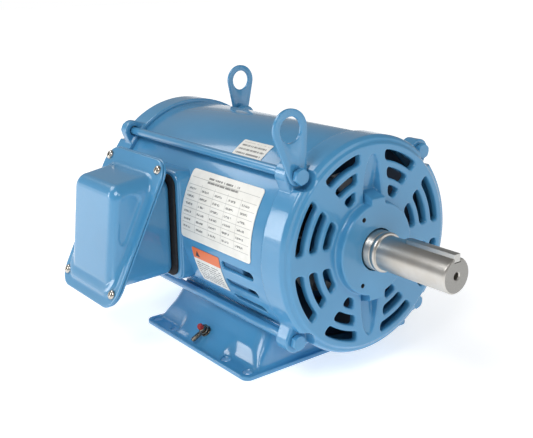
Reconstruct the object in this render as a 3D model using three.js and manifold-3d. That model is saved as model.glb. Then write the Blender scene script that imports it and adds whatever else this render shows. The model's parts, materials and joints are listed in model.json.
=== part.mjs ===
// Three-phase electric motor, open drip-proof, rolled-steel shell on a pressed foot base.
//
// Frame: millimetres, +Z up. X runs along the shaft towards the drive end. The origin is on the
// floor, below the shaft centreline, midway between the foot holes. The conduit box is on -Y.

import * as THREE from 'three';
import { mergeVertices } from 'three/addons/utils/BufferGeometryUtils.js';
import Module from 'manifold-3d';

const wasm = await Module();
wasm.setup();

const INCH = 25.4;
const GAP = 0.3; // clearance kept between two touching pieces

// Shaft and feet, the dimensions that make the motor fit a standard base and coupling.
const SHAFT_HEIGHT = 5.25 * INCH;
const SHAFT_R = 1.375 / 2 * INCH;
const SHAFT_END_X = 10.375 * INCH;
const SHOULDER_X = 7.0 * INCH;
const COLLAR_R = 20.4;
const GROOVE_X = 172.4; // fine groove round the collar
const KEY = 0.3125 * INCH;
const KEY_LENGTH = 2.41 * INCH;
const FOOT_HOLE_Y = 4.25 * INCH;
const FOOT_HOLE_XS = [2.0 * INCH, 3.5 * INCH];
const FOOT_HOLE_R = 0.203 * INCH;

// Shell.
const SHELL_R = 110;
const SHELL_WALL = 3.2;
const SHELL_FRONT = 120;
const SHELL_REAR = -160;
const BORE_R = SHELL_R - SHELL_WALL;

// End brackets.
const RIM_R = 112.5;
const REAR_RIM_R = 114;
const FACE_X = 155;
const REAR_FACE_X = -197;
const FACE_T = 8;
const HUB_R = 47.5;
const HUB_H = 9;
const SPIGOT_L = 9;
const VENT_ROWS = [[88.4, 98.2], [71.6, 81.3], [55.2, 64.6]]; // inner and outer radius of each row
const VENT_CORNER_R = 3.4;
const SPOKE_DIAGONAL = 11.1; // half widths of the spokes between the vents
const SPOKE_LEVEL = 10.2;
const SPOKE_UPRIGHT = [17.0, 20.2, 22.2];
const ACCESS_TIP_R = 95;
const ACCESS_HALF_W = 11.8;
const ACCESS_DEPTH = 10;

// Through bolts and lifting lugs.
const BOLT_OFFSET = 3.3 * INCH;
const BOLT_R = 4.76;
const BOLT_HOLE_R = 5.6;
const HEX_ACROSS = 14.3;
const HEX_H = 6.1;
const EAR_R = 12;
const EAR_ROOT_R = 105; // where the ear runs into the rim
const EAR_SPREAD = 0.17; // half the angle that the root covers, in radians
const FRONT_SEAT_X = 138.2;
const REAR_SEAT_X = -175;
const SCALLOP_R = 13.2;
const LUG_T = 4.3;
const LUG_EYE_H = 44.5;
const LUG_EYE_R = 19.5;
const LUG_HOLE_R = 12.3;
const LUG_LEAN = 11 * Math.PI / 180;

// Stator, rotor and bearings.
const CORE_REAR = -85;
const CORE_FRONT = 79;
const CORE_BORE_R = 66;
const ROTOR_R = 65.4;
const TURN_L = 30; // length of the coil ends beyond the core
const TURN_INNER_R = 72;
const TURN_OUTER_R = 101;
const CORE_SEAT_R = 24; // shaft under the rotor core
const SHAFT_BODY_R = 22.5; // shaft between the rotor core and the drive bearing
const REAR_BODY_R = 21;
const CENTRE_HOLE_R = 4.5;
const BEARING_FRONT = { x: 127, bore: 20, outer: 40, width: 18 };
const BEARING_REAR = { x: -179, bore: 17.5, outer: 36, width: 17 };

// Conduit box. Its flange lies in a plane that leans out towards the bottom.
const BOX_X = -3.05 * INCH;
const BOX_BACK_Y = -116.3;
const PAD_Y = -112.8;
const FLANGE_TOP = { y: -5.3 * INCH, z: 7.9 * INCH };
const FLANGE_SLOPE = 0.505;
const FLANGE_T = 3.1;
const COVER_WALL = 2.2;
const LEAD_HOLE_R = 22;
const BOX_SCREW_HOLE_R = 2.9;
const PAD_RECT = { halfWidth: 2.1 * INCH, low: 2.85 * INCH, high: 7.6 * INCH, corner: 12 };
const GASKET_RECT = { halfWidth: 1.95 * INCH, low: 3.0 * INCH, high: 7.5 * INCH, corner: 12 };
const FLANGE_RECT = { halfWidth: 2.47 * INCH, low: 2.44 * INCH, high: 8.28 * INCH, corner: 20 };
const COVER_ROOT_RECT = { halfWidth: 2.02 * INCH, low: 2.95 * INCH, high: 7.62 * INCH, corner: 17 };
const COVER_FACE_RECT = { halfWidth: 1.9 * INCH, low: 3.02 * INCH, high: 7.44 * INCH, corner: 15 };
const BASE_MOUTH_RECT = { halfWidth: 1.95 * INCH, low: 2.98 * INCH, high: 7.55 * INCH, corner: 17 };
const BASE_BACK_RECT = { halfWidth: 1.72 * INCH, low: 3.02 * INCH, high: 7.4 * INCH, corner: 14 };

// Foot base.
const BASE_X = 100.5;
const BASE_Y = 118.5;
const BASE_T = 5;
const EARTH = { y: 98.2, z: 16.4, lean: 46 * Math.PI / 180 }; // earthing screw on the skirt, -Y side

const BLUE = [0x5f9ccb, 0.28, 0.05];
const STEEL = [0xb9bab6, 0.3, 1.0];
const ZINC = [0xd2cdbf, 0.32, 1.0];
const IRON = [0x4a4d50, 0.6, 0.6];
const ALUMINIUM = [0xa9acae, 0.45, 0.9];
const COPPER = [0x8a4a22, 0.45, 0.3];
const RUBBER = [0x15171a, 0.75, 0.0];
const PAPER = [0xf1f0ea, 0.45, 0.0];

const motor = new THREE.Group();
motor.name = 'electric_motor';

// ---------------------------------------------------------------------------------------------
// Small geometry helpers
// ---------------------------------------------------------------------------------------------

function manifold(positions, triangles) {
  return new wasm.Manifold(new wasm.Mesh({
    numProp: 3,
    vertProperties: new Float32Array(positions),
    triVerts: new Uint32Array(triangles),
  }));
}

// The same triangles, facing the other way.
function flipped(triangles) {
  const turned = Array.from(triangles);
  for (let i = 0; i < turned.length; i += 3) {
    [turned[i + 1], turned[i + 2]] = [turned[i + 2], turned[i + 1]];
  }
  return turned;
}

// A solid from a closed geometry. A revolved profile may run either way, so its faces are
// turned to point out.
function solid(geometry) {
  const bare = geometry.clone();
  bare.deleteAttribute('normal');
  bare.deleteAttribute('uv');
  const merged = mergeVertices(bare, 1e-4);
  const positions = merged.attributes.position.array;
  const triangles = merged.index.array;
  const body = manifold(positions, triangles);
  return body.volume() > 0 ? body : manifold(positions, flipped(triangles));
}

function join(first, ...others) {
  return others.reduce((body, other) => body.add(other), first);
}

function cut(first, ...others) {
  return others.reduce((body, other) => body.subtract(other), first);
}

function toGeometry(body) {
  const mesh = body.getMesh();
  const geometry = new THREE.BufferGeometry();
  geometry.setAttribute('position', new THREE.BufferAttribute(new Float32Array(mesh.vertProperties), 3));
  geometry.setIndex(new THREE.BufferAttribute(new Uint32Array(mesh.triVerts), 1));
  geometry.computeVertexNormals();
  return geometry;
}

function add(name, body, [color, roughness, metalness]) {
  const geometry = body.isBufferGeometry ? body : toGeometry(body);
  const material = new THREE.MeshStandardMaterial({ color, roughness, metalness });
  const mesh = new THREE.Mesh(geometry, material);
  mesh.name = name;
  motor.add(mesh);
}

// Places a shape drawn in (Y, Z) and extruded along X between two stations.
function extrudeX(shape, x0, x1, curveSegments = 12) {
  const geometry = new THREE.ExtrudeGeometry(shape, { depth: x1 - x0, bevelEnabled: false, curveSegments });
  const toWorld = new THREE.Matrix4().makeBasis(
    new THREE.Vector3(0, 1, 0), new THREE.Vector3(0, 0, 1), new THREE.Vector3(1, 0, 0));
  toWorld.setPosition(x0, 0, 0);
  geometry.applyMatrix4(toWorld);
  return geometry;
}

// A body of revolution about the shaft centreline from a closed profile of [radius, x] points.
function revolve(profile, segments = 40) {
  const points = profile.map(([r, x]) => new THREE.Vector2(r, x));
  const closed = profile[0][0] > 0 || profile[profile.length - 1][0] > 0;
  if (closed) points.push(points[0].clone());
  const geometry = new THREE.LatheGeometry(points, segments);
  geometry.rotateZ(-Math.PI / 2);
  geometry.translate(0, 0, SHAFT_HEIGHT);
  return geometry;
}

function ring(rInner, rOuter, x0, x1, segments = 40) {
  return revolve([[rInner, x0], [rOuter, x0], [rOuter, x1], [rInner, x1]].reverse(), segments);
}

// A round bar along X at any height.
function barX(r, x0, x1, y, z, segments = 16) {
  const geometry = new THREE.CylinderGeometry(r, r, x1 - x0, segments);
  geometry.rotateZ(-Math.PI / 2);
  geometry.translate((x0 + x1) / 2, y, z);
  return geometry;
}

function box(x0, x1, y0, y1, z0, z1) {
  const geometry = new THREE.BoxGeometry(x1 - x0, y1 - y0, z1 - z0);
  geometry.translate((x0 + x1) / 2, (y0 + y1) / 2, (z0 + z1) / 2);
  return geometry;
}

// A closed skin through rings that each have the same number of points, capped at both ends.
function loft(rings) {
  const count = rings[0].length;
  const positions = rings.flat().flat();
  const index = [];
  for (let level = 0; level < rings.length - 1; level += 1) {
    for (let i = 0; i < count; i += 1) {
      const a = level * count + i;
      const b = level * count + (i + 1) % count;
      index.push(a, b, b + count, a, b + count, a + count);
    }
  }
  [0, rings.length - 1].forEach((level) => {
    const centre = positions.length / 3;
    const middle = [0, 1, 2].map((axis) => rings[level].reduce((sum, p) => sum + p[axis], 0) / count);
    positions.push(...middle);
    for (let i = 0; i < count; i += 1) {
      const a = level * count + i;
      const b = level * count + (i + 1) % count;
      if (level === 0) index.push(centre, b, a);
      else index.push(centre, a, b);
    }
  });
  const body = manifold(positions, index);
  return body.volume() > 0 ? body : manifold(positions, flipped(index));
}

// Outline of one of the conduit box's upright rectangles, made smaller all round by an inset.
function rectOutline({ halfWidth, low, high, corner }, inset = 0) {
  return roundedRect(halfWidth - inset, low + inset, high - inset, corner - inset, 4);
}

// Corner points of a rounded rectangle, counter-clockwise, as [u, v] pairs.
function roundedRect(halfU, lowV, highV, radius, perCorner = 5) {
  const corners = [
    [halfU - radius, highV - radius, 0],
    [-halfU + radius, highV - radius, 90],
    [-halfU + radius, lowV + radius, 180],
    [halfU - radius, lowV + radius, 270],
  ];
  return corners.flatMap(([u, v, start]) => Array.from({ length: perCorner + 1 }, (_, i) => {
    const angle = (start + 90 * i / perCorner) * Math.PI / 180;
    return [u + radius * Math.cos(angle), v + radius * Math.sin(angle)];
  }));
}

function polygon(points) {
  return new THREE.Shape(points.map(([u, v]) => new THREE.Vector2(u, v)));
}

function hexagon(across, y, z, turn = 0) {
  const r = across / Math.sqrt(3);
  return polygon(Array.from({ length: 6 }, (_, i) => {
    const angle = turn + i * Math.PI / 3;
    return [y + r * Math.cos(angle), z + r * Math.sin(angle)];
  }));
}

const CORNERS = {
  upper_left: [-BOLT_OFFSET, SHAFT_HEIGHT + BOLT_OFFSET],
  upper_right: [BOLT_OFFSET, SHAFT_HEIGHT + BOLT_OFFSET],
  lower_left: [-BOLT_OFFSET, SHAFT_HEIGHT - BOLT_OFFSET],
  lower_right: [BOLT_OFFSET, SHAFT_HEIGHT - BOLT_OFFSET],
};

// ---------------------------------------------------------------------------------------------
// End brackets
// ---------------------------------------------------------------------------------------------

// One vent: an arc slot between two spokes, its ends parallel to the spokes.
function ventPath(rIn, rOut, startAngle, startHalf, endAngle, endHalf) {
  const from = (r) => startAngle + Math.asin(startHalf / r);
  const to = (r) => endAngle - Math.asin(endHalf / r);
  const c = VENT_CORNER_R;
  const points = [];
  const put = (r, angle) => points.push([r * Math.cos(angle), SHAFT_HEIGHT + r * Math.sin(angle)]);
  const quarter = [10, 80].map((a) => a * Math.PI / 180);
  const backwards = quarter.slice().reverse();
  const short = (q) => c - c * Math.sin(q);
  const along = (q, r) => (c - c * Math.cos(q)) / r;
  const arc = 3;
  quarter.forEach((q) => put(rIn + short(q), from(rIn) + along(q, rIn)));
  for (let i = 1; i < arc; i += 1) put(rIn, THREE.MathUtils.lerp(from(rIn), to(rIn), i / arc));
  backwards.forEach((q) => put(rIn + short(q), to(rIn) - along(q, rIn)));
  quarter.forEach((q) => put(rOut - short(q), to(rOut) - along(q, rOut)));
  for (let i = 1; i < arc; i += 1) put(rOut, THREE.MathUtils.lerp(to(rOut), from(rOut), i / arc));
  backwards.forEach((q) => put(rOut - short(q), from(rOut) + along(q, rOut)));
  return new THREE.Path(points.map(([y, z]) => new THREE.Vector2(y, z)));
}

// Spokes stand every 45 degrees: level, diagonal, upright, diagonal and so on.
function spokeHalfWidth(spoke, row) {
  if (spoke % 2 === 1) return SPOKE_DIAGONAL;
  return spoke % 4 === 0 ? SPOKE_LEVEL : SPOKE_UPRIGHT[row];
}

function ventedDisc(radius, x0, x1) {
  const disc = new THREE.Shape();
  disc.absarc(0, SHAFT_HEIGHT, radius, 0, 2 * Math.PI, false);
  VENT_ROWS.forEach(([rIn, rOut], row) => {
    for (let spoke = 0; spoke < 8; spoke += 1) {
      const start = spoke * Math.PI / 4;
      const end = start + Math.PI / 4;
      const startHalf = spokeHalfWidth(spoke, row);
      const endHalf = spokeHalfWidth(spoke + 1, row);
      disc.holes.push(ventPath(rIn, rOut, start, startHalf, end, endHalf));
    }
  });
  return solid(extrudeX(disc, x0, x1, 24));
}

// Lancet outline of the tool access pocket on an upright spoke; side is +1 above, -1 below.
function lancet(side, grow = 0) {
  const half = ACCESS_HALF_W + grow;
  const tip = ACCESS_TIP_R + grow;
  const profile = [
    [half, 44],
    [half, 58],
    [half * 0.88, 72],
    [half * 0.62, 85],
    [half * 0.3, tip - 2.5],
    [0, tip],
  ];
  const mirrored = profile.slice(0, -1).reverse().map(([y, r]) => [-y, r]);
  const outline = [...profile, ...mirrored];
  return outline.map(([y, r]) => [side > 0 ? y : -y, side * r]);
}

// Pocket that deepens from its tip to the hub.
function accessPocket(side, face, inward) {
  const outline = lancet(side);
  const mouth = outline.map(([y, r]) => [face - inward * 2, y, SHAFT_HEIGHT + r]);
  const floor = outline.map(([y, r]) => {
    const along = (ACCESS_TIP_R - Math.abs(r)) / (ACCESS_TIP_R - 55);
    const depth = 1 + (ACCESS_DEPTH - 1) * Math.min(1, along);
    return [face + inward * depth, y * 0.8, SHAFT_HEIGHT + r];
  });
  return loft([mouth, floor]);
}

// Material behind the pocket, so that the wall keeps its thickness.
function accessBacking(side, face, inward) {
  const outline = lancet(side, 4);
  const near = outline.map(([y, r]) => [face + inward * 3, y, SHAFT_HEIGHT + r]);
  const far = outline.map(([y, r]) => {
    const along = (ACCESS_TIP_R + 4 - Math.abs(r)) / (ACCESS_TIP_R + 4 - 55);
    const depth = FACE_T - 1 + (ACCESS_DEPTH - 1) * Math.min(1, along);
    return [face + inward * depth, y * 0.85, SHAFT_HEIGHT + r];
  });
  return loft([near, far]);
}

// Flat-topped block on the hub, above or below the shaft, whose outer face leans.
function hubBlock(side, face, inward) {
  const front = face - inward * HUB_H;
  const back = face + inward * ACCESS_DEPTH;
  const half = 9;
  const section = (y) => [
    [front, y, SHAFT_HEIGHT + side * 20],
    [front, y, SHAFT_HEIGHT + side * 52.6],
    [back, y, SHAFT_HEIGHT + side * 58.5],
    [back, y, SHAFT_HEIGHT + side * 20],
  ];
  return loft([section(-half), section(half)]);
}

// Lobe that carries a through bolt, blended into the rim.
function earShape(y, z) {
  const dy = Math.sign(y);
  const dz = Math.sign(z - SHAFT_HEIGHT);
  const outward = Math.atan2(dz, dy);
  const points = [];
  for (let i = -4; i <= 4; i += 1) {
    const angle = outward + i * Math.PI / 9;
    points.push([y + EAR_R * Math.cos(angle), z + EAR_R * Math.sin(angle)]);
  }
  [EAR_SPREAD, -EAR_SPREAD].forEach((spread) => {
    const angle = outward + spread;
    points.push([EAR_ROOT_R * Math.cos(angle), SHAFT_HEIGHT + EAR_ROOT_R * Math.sin(angle)]);
  });
  return polygon(points);
}

function bracket({ face, inward, rimR, rimInner, shellEnd, earFace, seat, boreR, bearing, pockets }) {
  const at = (depth) => face + inward * depth;
  const spigotEnd = shellEnd + inward * SPIGOT_L;
  const rim = solid(revolve([
    [rimR - 8, at(0)], [rimR - 5.6, at(2.4)], [rimR - 2, at(3)], [rimR, at(5.5)],
    [rimR, shellEnd], [BORE_R - GAP, shellEnd], [BORE_R - GAP, spigotEnd], [rimInner, spigotEnd],
    [rimInner, at(0)],
  ], 48));
  const disc = ventedDisc(rimInner + 1, Math.min(at(0), at(FACE_T)), Math.max(at(0), at(FACE_T)));
  const hub = solid(revolve([
    [0, at(-HUB_H)], [HUB_R - 1.2, at(-HUB_H)], [HUB_R, at(-HUB_H + 1.2)],
    [HUB_R, bearing.x + inward * bearing.width / 2], [0, bearing.x + inward * bearing.width / 2],
  ], 36));
  let body = join(rim, disc);
  Object.values(CORNERS).forEach(([y, z]) => {
    const [x0, x1] = [earFace, seat].sort((a, b) => a - b);
    body = body.add(solid(extrudeX(earShape(y, z), x0, x1)));
    const scallop = [seat, face - inward * 5].sort((a, b) => a - b);
    body = body.subtract(solid(barX(SCALLOP_R, scallop[0], scallop[1], y, z, 20)));
    const through = [earFace + inward * 40, face - inward * 5].sort((a, b) => a - b);
    body = body.subtract(solid(barX(BOLT_HOLE_R, through[0], through[1], y, z, 12)));
  });
  if (pockets) {
    body = join(body, accessBacking(1, face, inward), accessBacking(-1, face, inward));
    body = cut(body, accessPocket(1, face, inward), accessPocket(-1, face, inward));
    body = join(body, hubBlock(1, face, inward), hubBlock(-1, face, inward));
  }
  body = body.add(hub);
  const seatBack = bearing.x - inward * (bearing.width / 2 + GAP);
  const seatMouth = bearing.x + inward * (bearing.width / 2 + 3);
  const [s0, s1] = [seatBack, seatMouth].sort((a, b) => a - b);
  body = body.subtract(solid(barX(bearing.outer + GAP, s0, s1, 0, SHAFT_HEIGHT, 32)));
  if (boreR > 0) {
    const [b0, b1] = [at(-HUB_H - 2), at(60)].sort((a, b) => a - b);
    body = body.subtract(solid(barX(boreR, b0, b1, 0, SHAFT_HEIGHT, 32)));
  }
  return body;
}

const CAP_SCREW_R = 39; // circle that the cap screws stand on
const CAP_SCREW_HOLE_R = 2.4;
const CAP_SCREW_ANGLES = [0, 2 * Math.PI / 3, 4 * Math.PI / 3];

function driveBracket() {
  const body = bracket({
    face: FACE_X, inward: -1, rimR: RIM_R, rimInner: 103, shellEnd: SHELL_FRONT, earFace: SHELL_FRONT + 1,
    seat: FRONT_SEAT_X, boreR: 22, bearing: BEARING_FRONT, pockets: true,
  });
  return CAP_SCREW_ANGLES.reduce((made, angle) => {
    const y = CAP_SCREW_R * Math.cos(angle);
    const z = SHAFT_HEIGHT + CAP_SCREW_R * Math.sin(angle);
    return made.subtract(solid(barX(CAP_SCREW_HOLE_R, FACE_X + HUB_H - 12, FACE_X + HUB_H + 2, y, z, 12)));
  }, body);
}

function rearBracket() {
  return bracket({
    face: REAR_FACE_X, inward: 1, rimR: REAR_RIM_R, rimInner: 103,
    shellEnd: SHELL_REAR, earFace: SHELL_REAR - 3, seat: REAR_SEAT_X,
    boreR: 0, bearing: BEARING_REAR, pockets: false,
  });
}

// ---------------------------------------------------------------------------------------------
// Shell and base
// ---------------------------------------------------------------------------------------------

const LOUVRE_ANGLES = [-12, -23, -34, -45]; // below the level of the shaft
const LOUVRE_X0 = 1.84 * INCH;
const LOUVRE_X1 = 3.97 * INCH;
const LOUVRE_H = 8.4;

// Outlet louvre, a round-ended window cut square to the shell.
function louvreCutter(angleDegrees, side) {
  const r = LOUVRE_H / 2;
  const shape = new THREE.Shape();
  shape.absarc(LOUVRE_X1 - r, 0, r, -Math.PI / 2, Math.PI / 2, false);
  shape.absarc(LOUVRE_X0 + r, 0, r, Math.PI / 2, 3 * Math.PI / 2, false);
  const geometry = new THREE.ExtrudeGeometry(shape, { depth: 14, bevelEnabled: false, curveSegments: 2 });
  geometry.translate(0, 0, SHELL_R - 9);
  const angle = angleDegrees * Math.PI / 180;
  geometry.rotateX(side * (Math.PI / 2 - angle));
  geometry.translate(0, 0, SHAFT_HEIGHT);
  return solid(geometry);
}

// Hole for the leads, from the shell into the conduit box.
function leadHole(length) {
  const geometry = new THREE.CylinderGeometry(LEAD_HOLE_R, LEAD_HOLE_R, length, 24);
  geometry.translate(BOX_X, BOX_BACK_Y, SHAFT_HEIGHT);
  return solid(geometry);
}

function frameShell() {
  const pad = rectOutline(PAD_RECT);
  const padBlock = loft([
    pad.map(([u, z]) => [BOX_X + u, -70, z]),
    pad.map(([u, z]) => [BOX_X + u, PAD_Y + 3, z]),
    pad.map(([u, z]) => [BOX_X + u * 0.97, PAD_Y, SHAFT_HEIGHT + (z - SHAFT_HEIGHT) * 0.97]),
  ]);
  let body = solid(barX(SHELL_R, SHELL_REAR + GAP, SHELL_FRONT - GAP, 0, SHAFT_HEIGHT, 64));
  body = body.add(padBlock);
  body = body.subtract(solid(barX(BORE_R, SHELL_REAR - 5, SHELL_FRONT + 5, 0, SHAFT_HEIGHT, 64)));
  body = body.subtract(leadHole(60));
  [1, -1].forEach((side) => {
    LOUVRE_ANGLES.forEach((angle) => {
      body = body.subtract(louvreCutter(angle, side));
    });
  });
  return body;
}

// Concave skirt from the foot plate up to the shell, as rings of growing height. Each level is
// half length, half width and height.
function skirt(inset) {
  const levels = [
    [97, 115, 5], [94, 107, 8.5], [91.5, EARTH.y, EARTH.z], [89, 90, 25], [87, 84, 34], [85, 79, 43],
    [83.5, 75, 53], [83, 72.5, 62],
  ];
  return loft(levels.map(([halfX, halfY, z], level) => {
    const height = level === 0 ? BASE_T - 1 - inset * 2 : z - inset * 0.8;
    const outline = roundedRect(halfX - inset, -(halfY - inset), halfY - inset, 15 - inset, 3);
    return outline.map(([x, y]) => [x, y, height]);
  }));
}

// Room over the flat hole pad at one corner of the base, and with grow, the sheet that backs it.
function footPad(sx, sy, grow) {
  const floor = [[34, 135], [110, 135], [110, 99.5], [50, 99.5], [44.5, 103]];
  const widen = (lift) => floor.map(([x, y]) => [
    sx * (x < BASE_X ? x - grow - lift : x), sy * (y < BASE_X ? y - grow - lift : y),
  ]);
  const bottom = grow > 0 ? [[-BASE_T, 0], [BASE_T, 0.6]] : [[BASE_T, -3], [BASE_T + 4.5, 1.6]];
  const levels = [...bottom, [27, 9.4]];
  return loft(levels.map(([z, lift]) => widen(lift).map(([x, y]) => [x, y, z])));
}

function baseSaddle() {
  const outline = roundedRect(BASE_X, -BASE_Y, BASE_Y, 9, 4);
  const plate = loft([
    outline.map(([x, y]) => [x, y, 0]),
    outline.map(([x, y]) => [x, y, BASE_T - 1]),
    outline.map(([x, y]) => [x * 0.992, y * 0.993, BASE_T]),
  ]);
  const corners = [[1, 1], [1, -1], [-1, 1], [-1, -1]];
  const pads = corners.map(([sx, sy]) => footPad(sx, sy, 0));
  const backs = corners.map(([sx, sy]) => footPad(sx, sy, BASE_T));
  const hollow = cut(skirt(4), ...backs);
  let body = cut(plate.add(skirt(0)), ...pads).subtract(hollow);
  body = body.subtract(solid(barX(SHELL_R + GAP, SHELL_REAR - 20, SHELL_FRONT + 20, 0, SHAFT_HEIGHT, 64)));
  FOOT_HOLE_XS.forEach((hx) => {
    [1, -1].forEach((sx) => {
      [1, -1].forEach((sy) => {
        const hole = new THREE.CylinderGeometry(FOOT_HOLE_R, FOOT_HOLE_R, 40, 12);
        hole.rotateX(Math.PI / 2);
        hole.translate(sx * hx, sy * FOOT_HOLE_Y, 0);
        body = body.subtract(solid(hole));
      });
    });
  });
  return body;
}

// ---------------------------------------------------------------------------------------------
// Through bolts, nuts and lifting lugs
// ---------------------------------------------------------------------------------------------

function lugShape(y, z, lean) {
  const eye = [y - Math.sin(lean) * LUG_EYE_H, z + Math.cos(lean) * LUG_EYE_H];
  const foot = 10;
  const points = [];
  const put = (centre, r, fromDeg, toDeg, steps) => {
    for (let i = 0; i <= steps; i += 1) {
      const angle = THREE.MathUtils.lerp(fromDeg, toDeg, i / steps) * Math.PI / 180 + lean;
      points.push([centre[0] + r * Math.cos(angle), centre[1] + r * Math.sin(angle)]);
    }
  };
  put(eye, LUG_EYE_R, -12, 192, 16);
  put([y, z], foot, 200, 340, 6);
  const shape = polygon(points);
  const hole = new THREE.Path();
  hole.absarc(eye[0], eye[1], LUG_HOLE_R, 0, 2 * Math.PI, true);
  const bolt = new THREE.Path();
  bolt.absarc(y, z, BOLT_HOLE_R, 0, 2 * Math.PI, true);
  shape.holes.push(hole, bolt);
  return shape;
}

const LUG_CORNERS = { front: 'upper_left', rear: 'upper_right' };

function addThroughBolts() {
  Object.entries(CORNERS).forEach(([name, [y, z]]) => {
    const frontStack = LUG_CORNERS.front === name ? LUG_T + GAP : 0;
    const rearStack = LUG_CORNERS.rear === name ? LUG_T + GAP : 0;
    const headX = FRONT_SEAT_X + GAP + frontStack;
    const nutX = REAR_SEAT_X - GAP - rearStack;
    const nutH = 8;
    const head = solid(extrudeX(hexagon(HEX_ACROSS, y, z, 0.35), headX, headX + HEX_H));
    const rod = solid(barX(BOLT_R, nutX - nutH - 4, headX + 1, y, z, 16));
    add(`through_bolt_${name}`, join(head, rod), BLUE);
    const nut = solid(extrudeX(hexagon(HEX_ACROSS, y, z, 0.1), nutX - nutH, nutX));
    const bore = solid(barX(BOLT_R + GAP, nutX - nutH - 5, nutX + 5, y, z, 16));
    add(`through_nut_${name}`, cut(nut, bore), BLUE);
  });
}

function addLiftingLugs() {
  const [fy, fz] = CORNERS[LUG_CORNERS.front];
  const frontX = FRONT_SEAT_X + GAP;
  add('lifting_lug_front', solid(extrudeX(lugShape(fy, fz, LUG_LEAN), frontX, frontX + LUG_T - GAP)), BLUE);
  const [ry, rz] = CORNERS[LUG_CORNERS.rear];
  const rearX = REAR_SEAT_X - GAP;
  add('lifting_lug_rear', solid(extrudeX(lugShape(ry, rz, 0), rearX - LUG_T + GAP, rearX)), BLUE);
}

// ---------------------------------------------------------------------------------------------
// Conduit box
// ---------------------------------------------------------------------------------------------

// Distance out from the motor of the flange plane at height z, and of a plane set back from it.
function flangeY(z, back = 0) {
  return FLANGE_TOP.y - (FLANGE_TOP.z - z) * FLANGE_SLOPE + back;
}

const COVER_BEVEL = 4;
const COVER_FACE_TOP = { y: -7.26 * INCH, z: 7.45 * INCH };
const COVER_FACE_BOTTOM = { y: -7.78 * INCH, z: 2.9 * INCH };

function coverFaceY(z) {
  const t = (z - COVER_FACE_BOTTOM.z) / (COVER_FACE_TOP.z - COVER_FACE_BOTTOM.z);
  return THREE.MathUtils.lerp(COVER_FACE_BOTTOM.y, COVER_FACE_TOP.y, t);
}

const BOX_SCREWS = [[-52, 7.9 * INCH], [52, 7.9 * INCH], [-52, 3.04 * INCH], [52, 3.04 * INCH]];

function flangePlate(back0, back1) {
  const outline = rectOutline(FLANGE_RECT);
  return loft([back0, back1].map((back) => outline.map(([u, z]) => [BOX_X + u, flangeY(z, back), z])));
}

// Drawn shell of the cover, inset by the wall for its inside. Its edge round the face is chamfered.
function coverBody(inset) {
  const bevel = inset + COVER_BEVEL;
  const tipRect = { ...COVER_FACE_RECT, corner: COVER_FACE_RECT.corner + 1 };
  const faceY = (z, back) => Math.min(coverFaceY(z) + back, flangeY(z) - 0.6);
  const seat = rectOutline(COVER_ROOT_RECT, inset)
    .map(([u, z]) => [BOX_X + u, flangeY(z, inset > 0 ? 6 : 1), z]);
  const shoulder = rectOutline(COVER_FACE_RECT, inset)
    .map(([u, z]) => [BOX_X + u, faceY(z, COVER_BEVEL + 1) + inset, z]);
  const face = rectOutline(tipRect, bevel)
    .map(([u, z]) => [BOX_X + u, faceY(z, 0) - (inset > 0 ? 0 : 0.6) + inset, z]);
  return loft([seat, shoulder, face]);
}

function screwHoles() {
  return BOX_SCREWS.map(([u, z]) => {
    const hole = new THREE.CylinderGeometry(BOX_SCREW_HOLE_R, BOX_SCREW_HOLE_R, 60, 12);
    hole.rotateX(-Math.atan(FLANGE_SLOPE));
    hole.translate(BOX_X + u, flangeY(z), z);
    return solid(hole);
  });
}

function boxCover() {
  const body = join(flangePlate(0, FLANGE_T), coverBody(0));
  return cut(body, coverBody(COVER_WALL), ...screwHoles());
}

function boxBase() {
  const flange = flangePlate(FLANGE_T + GAP, 2 * FLANGE_T + GAP);
  const walls = (inset) => loft([
    rectOutline(BASE_MOUTH_RECT, inset)
      .map(([u, z]) => [BOX_X + u, flangeY(z, inset > 0 ? 0 : FLANGE_T + 1), z]),
    rectOutline(BASE_BACK_RECT, inset).map(([u, z]) => [BOX_X + u, BOX_BACK_Y - inset, z]),
  ]);
  return cut(join(flange, walls(0)), walls(COVER_WALL), leadHole(30), ...screwHoles());
}

function boxGasket() {
  const outline = rectOutline(GASKET_RECT);
  const faces = [PAD_Y - GAP, BOX_BACK_Y + GAP];
  const sheet = loft(faces.map((y) => outline.map(([u, z]) => [BOX_X + u, y, z])));
  return sheet.subtract(leadHole(30));
}

// Pan-head screw square to the flange.
function boxScrew([u, z]) {
  const profile = [[0, -9], [2.5, -9], [2.5, 0.3], [5.1, 0.3], [5.1, 1.4], [3.9, 2.9], [0, 3.3]];
  const geometry = new THREE.LatheGeometry(profile.map(([r, h]) => new THREE.Vector2(r, h)), 12);
  geometry.rotateX(Math.PI);
  geometry.rotateX(-Math.atan(FLANGE_SLOPE));
  geometry.translate(BOX_X + u, flangeY(z), z);
  return solid(geometry);
}

function addConduitBox() {
  add('conduit_box_cover', boxCover(), BLUE);
  add('conduit_box_base', boxBase(), BLUE);
  add('conduit_box_gasket', boxGasket(), RUBBER);
  const names = ['top_rear', 'top_front', 'bottom_rear', 'bottom_front'];
  BOX_SCREWS.forEach((place, i) => add(`conduit_box_screw_${names[i]}`, boxScrew(place), ZINC));
}

// ---------------------------------------------------------------------------------------------
// Stator, rotor, shaft and bearings
// ---------------------------------------------------------------------------------------------

function addStator() {
  add('stator_core', solid(ring(CORE_BORE_R, BORE_R - 0.4, CORE_REAR, CORE_FRONT, 40)), IRON);
  const turns = (x0, x1) => solid(revolve([
    [TURN_INNER_R, x0], [TURN_OUTER_R, x0], [TURN_OUTER_R, THREE.MathUtils.lerp(x0, x1, 0.75)],
    [TURN_OUTER_R - 7, x1], [TURN_INNER_R + 4, x1],
  ], 30));
  add('stator_end_turns_drive', turns(CORE_FRONT + GAP, CORE_FRONT + TURN_L), COPPER);
  add('stator_end_turns_rear', turns(CORE_REAR - GAP, CORE_REAR - TURN_L), COPPER);
}

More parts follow.
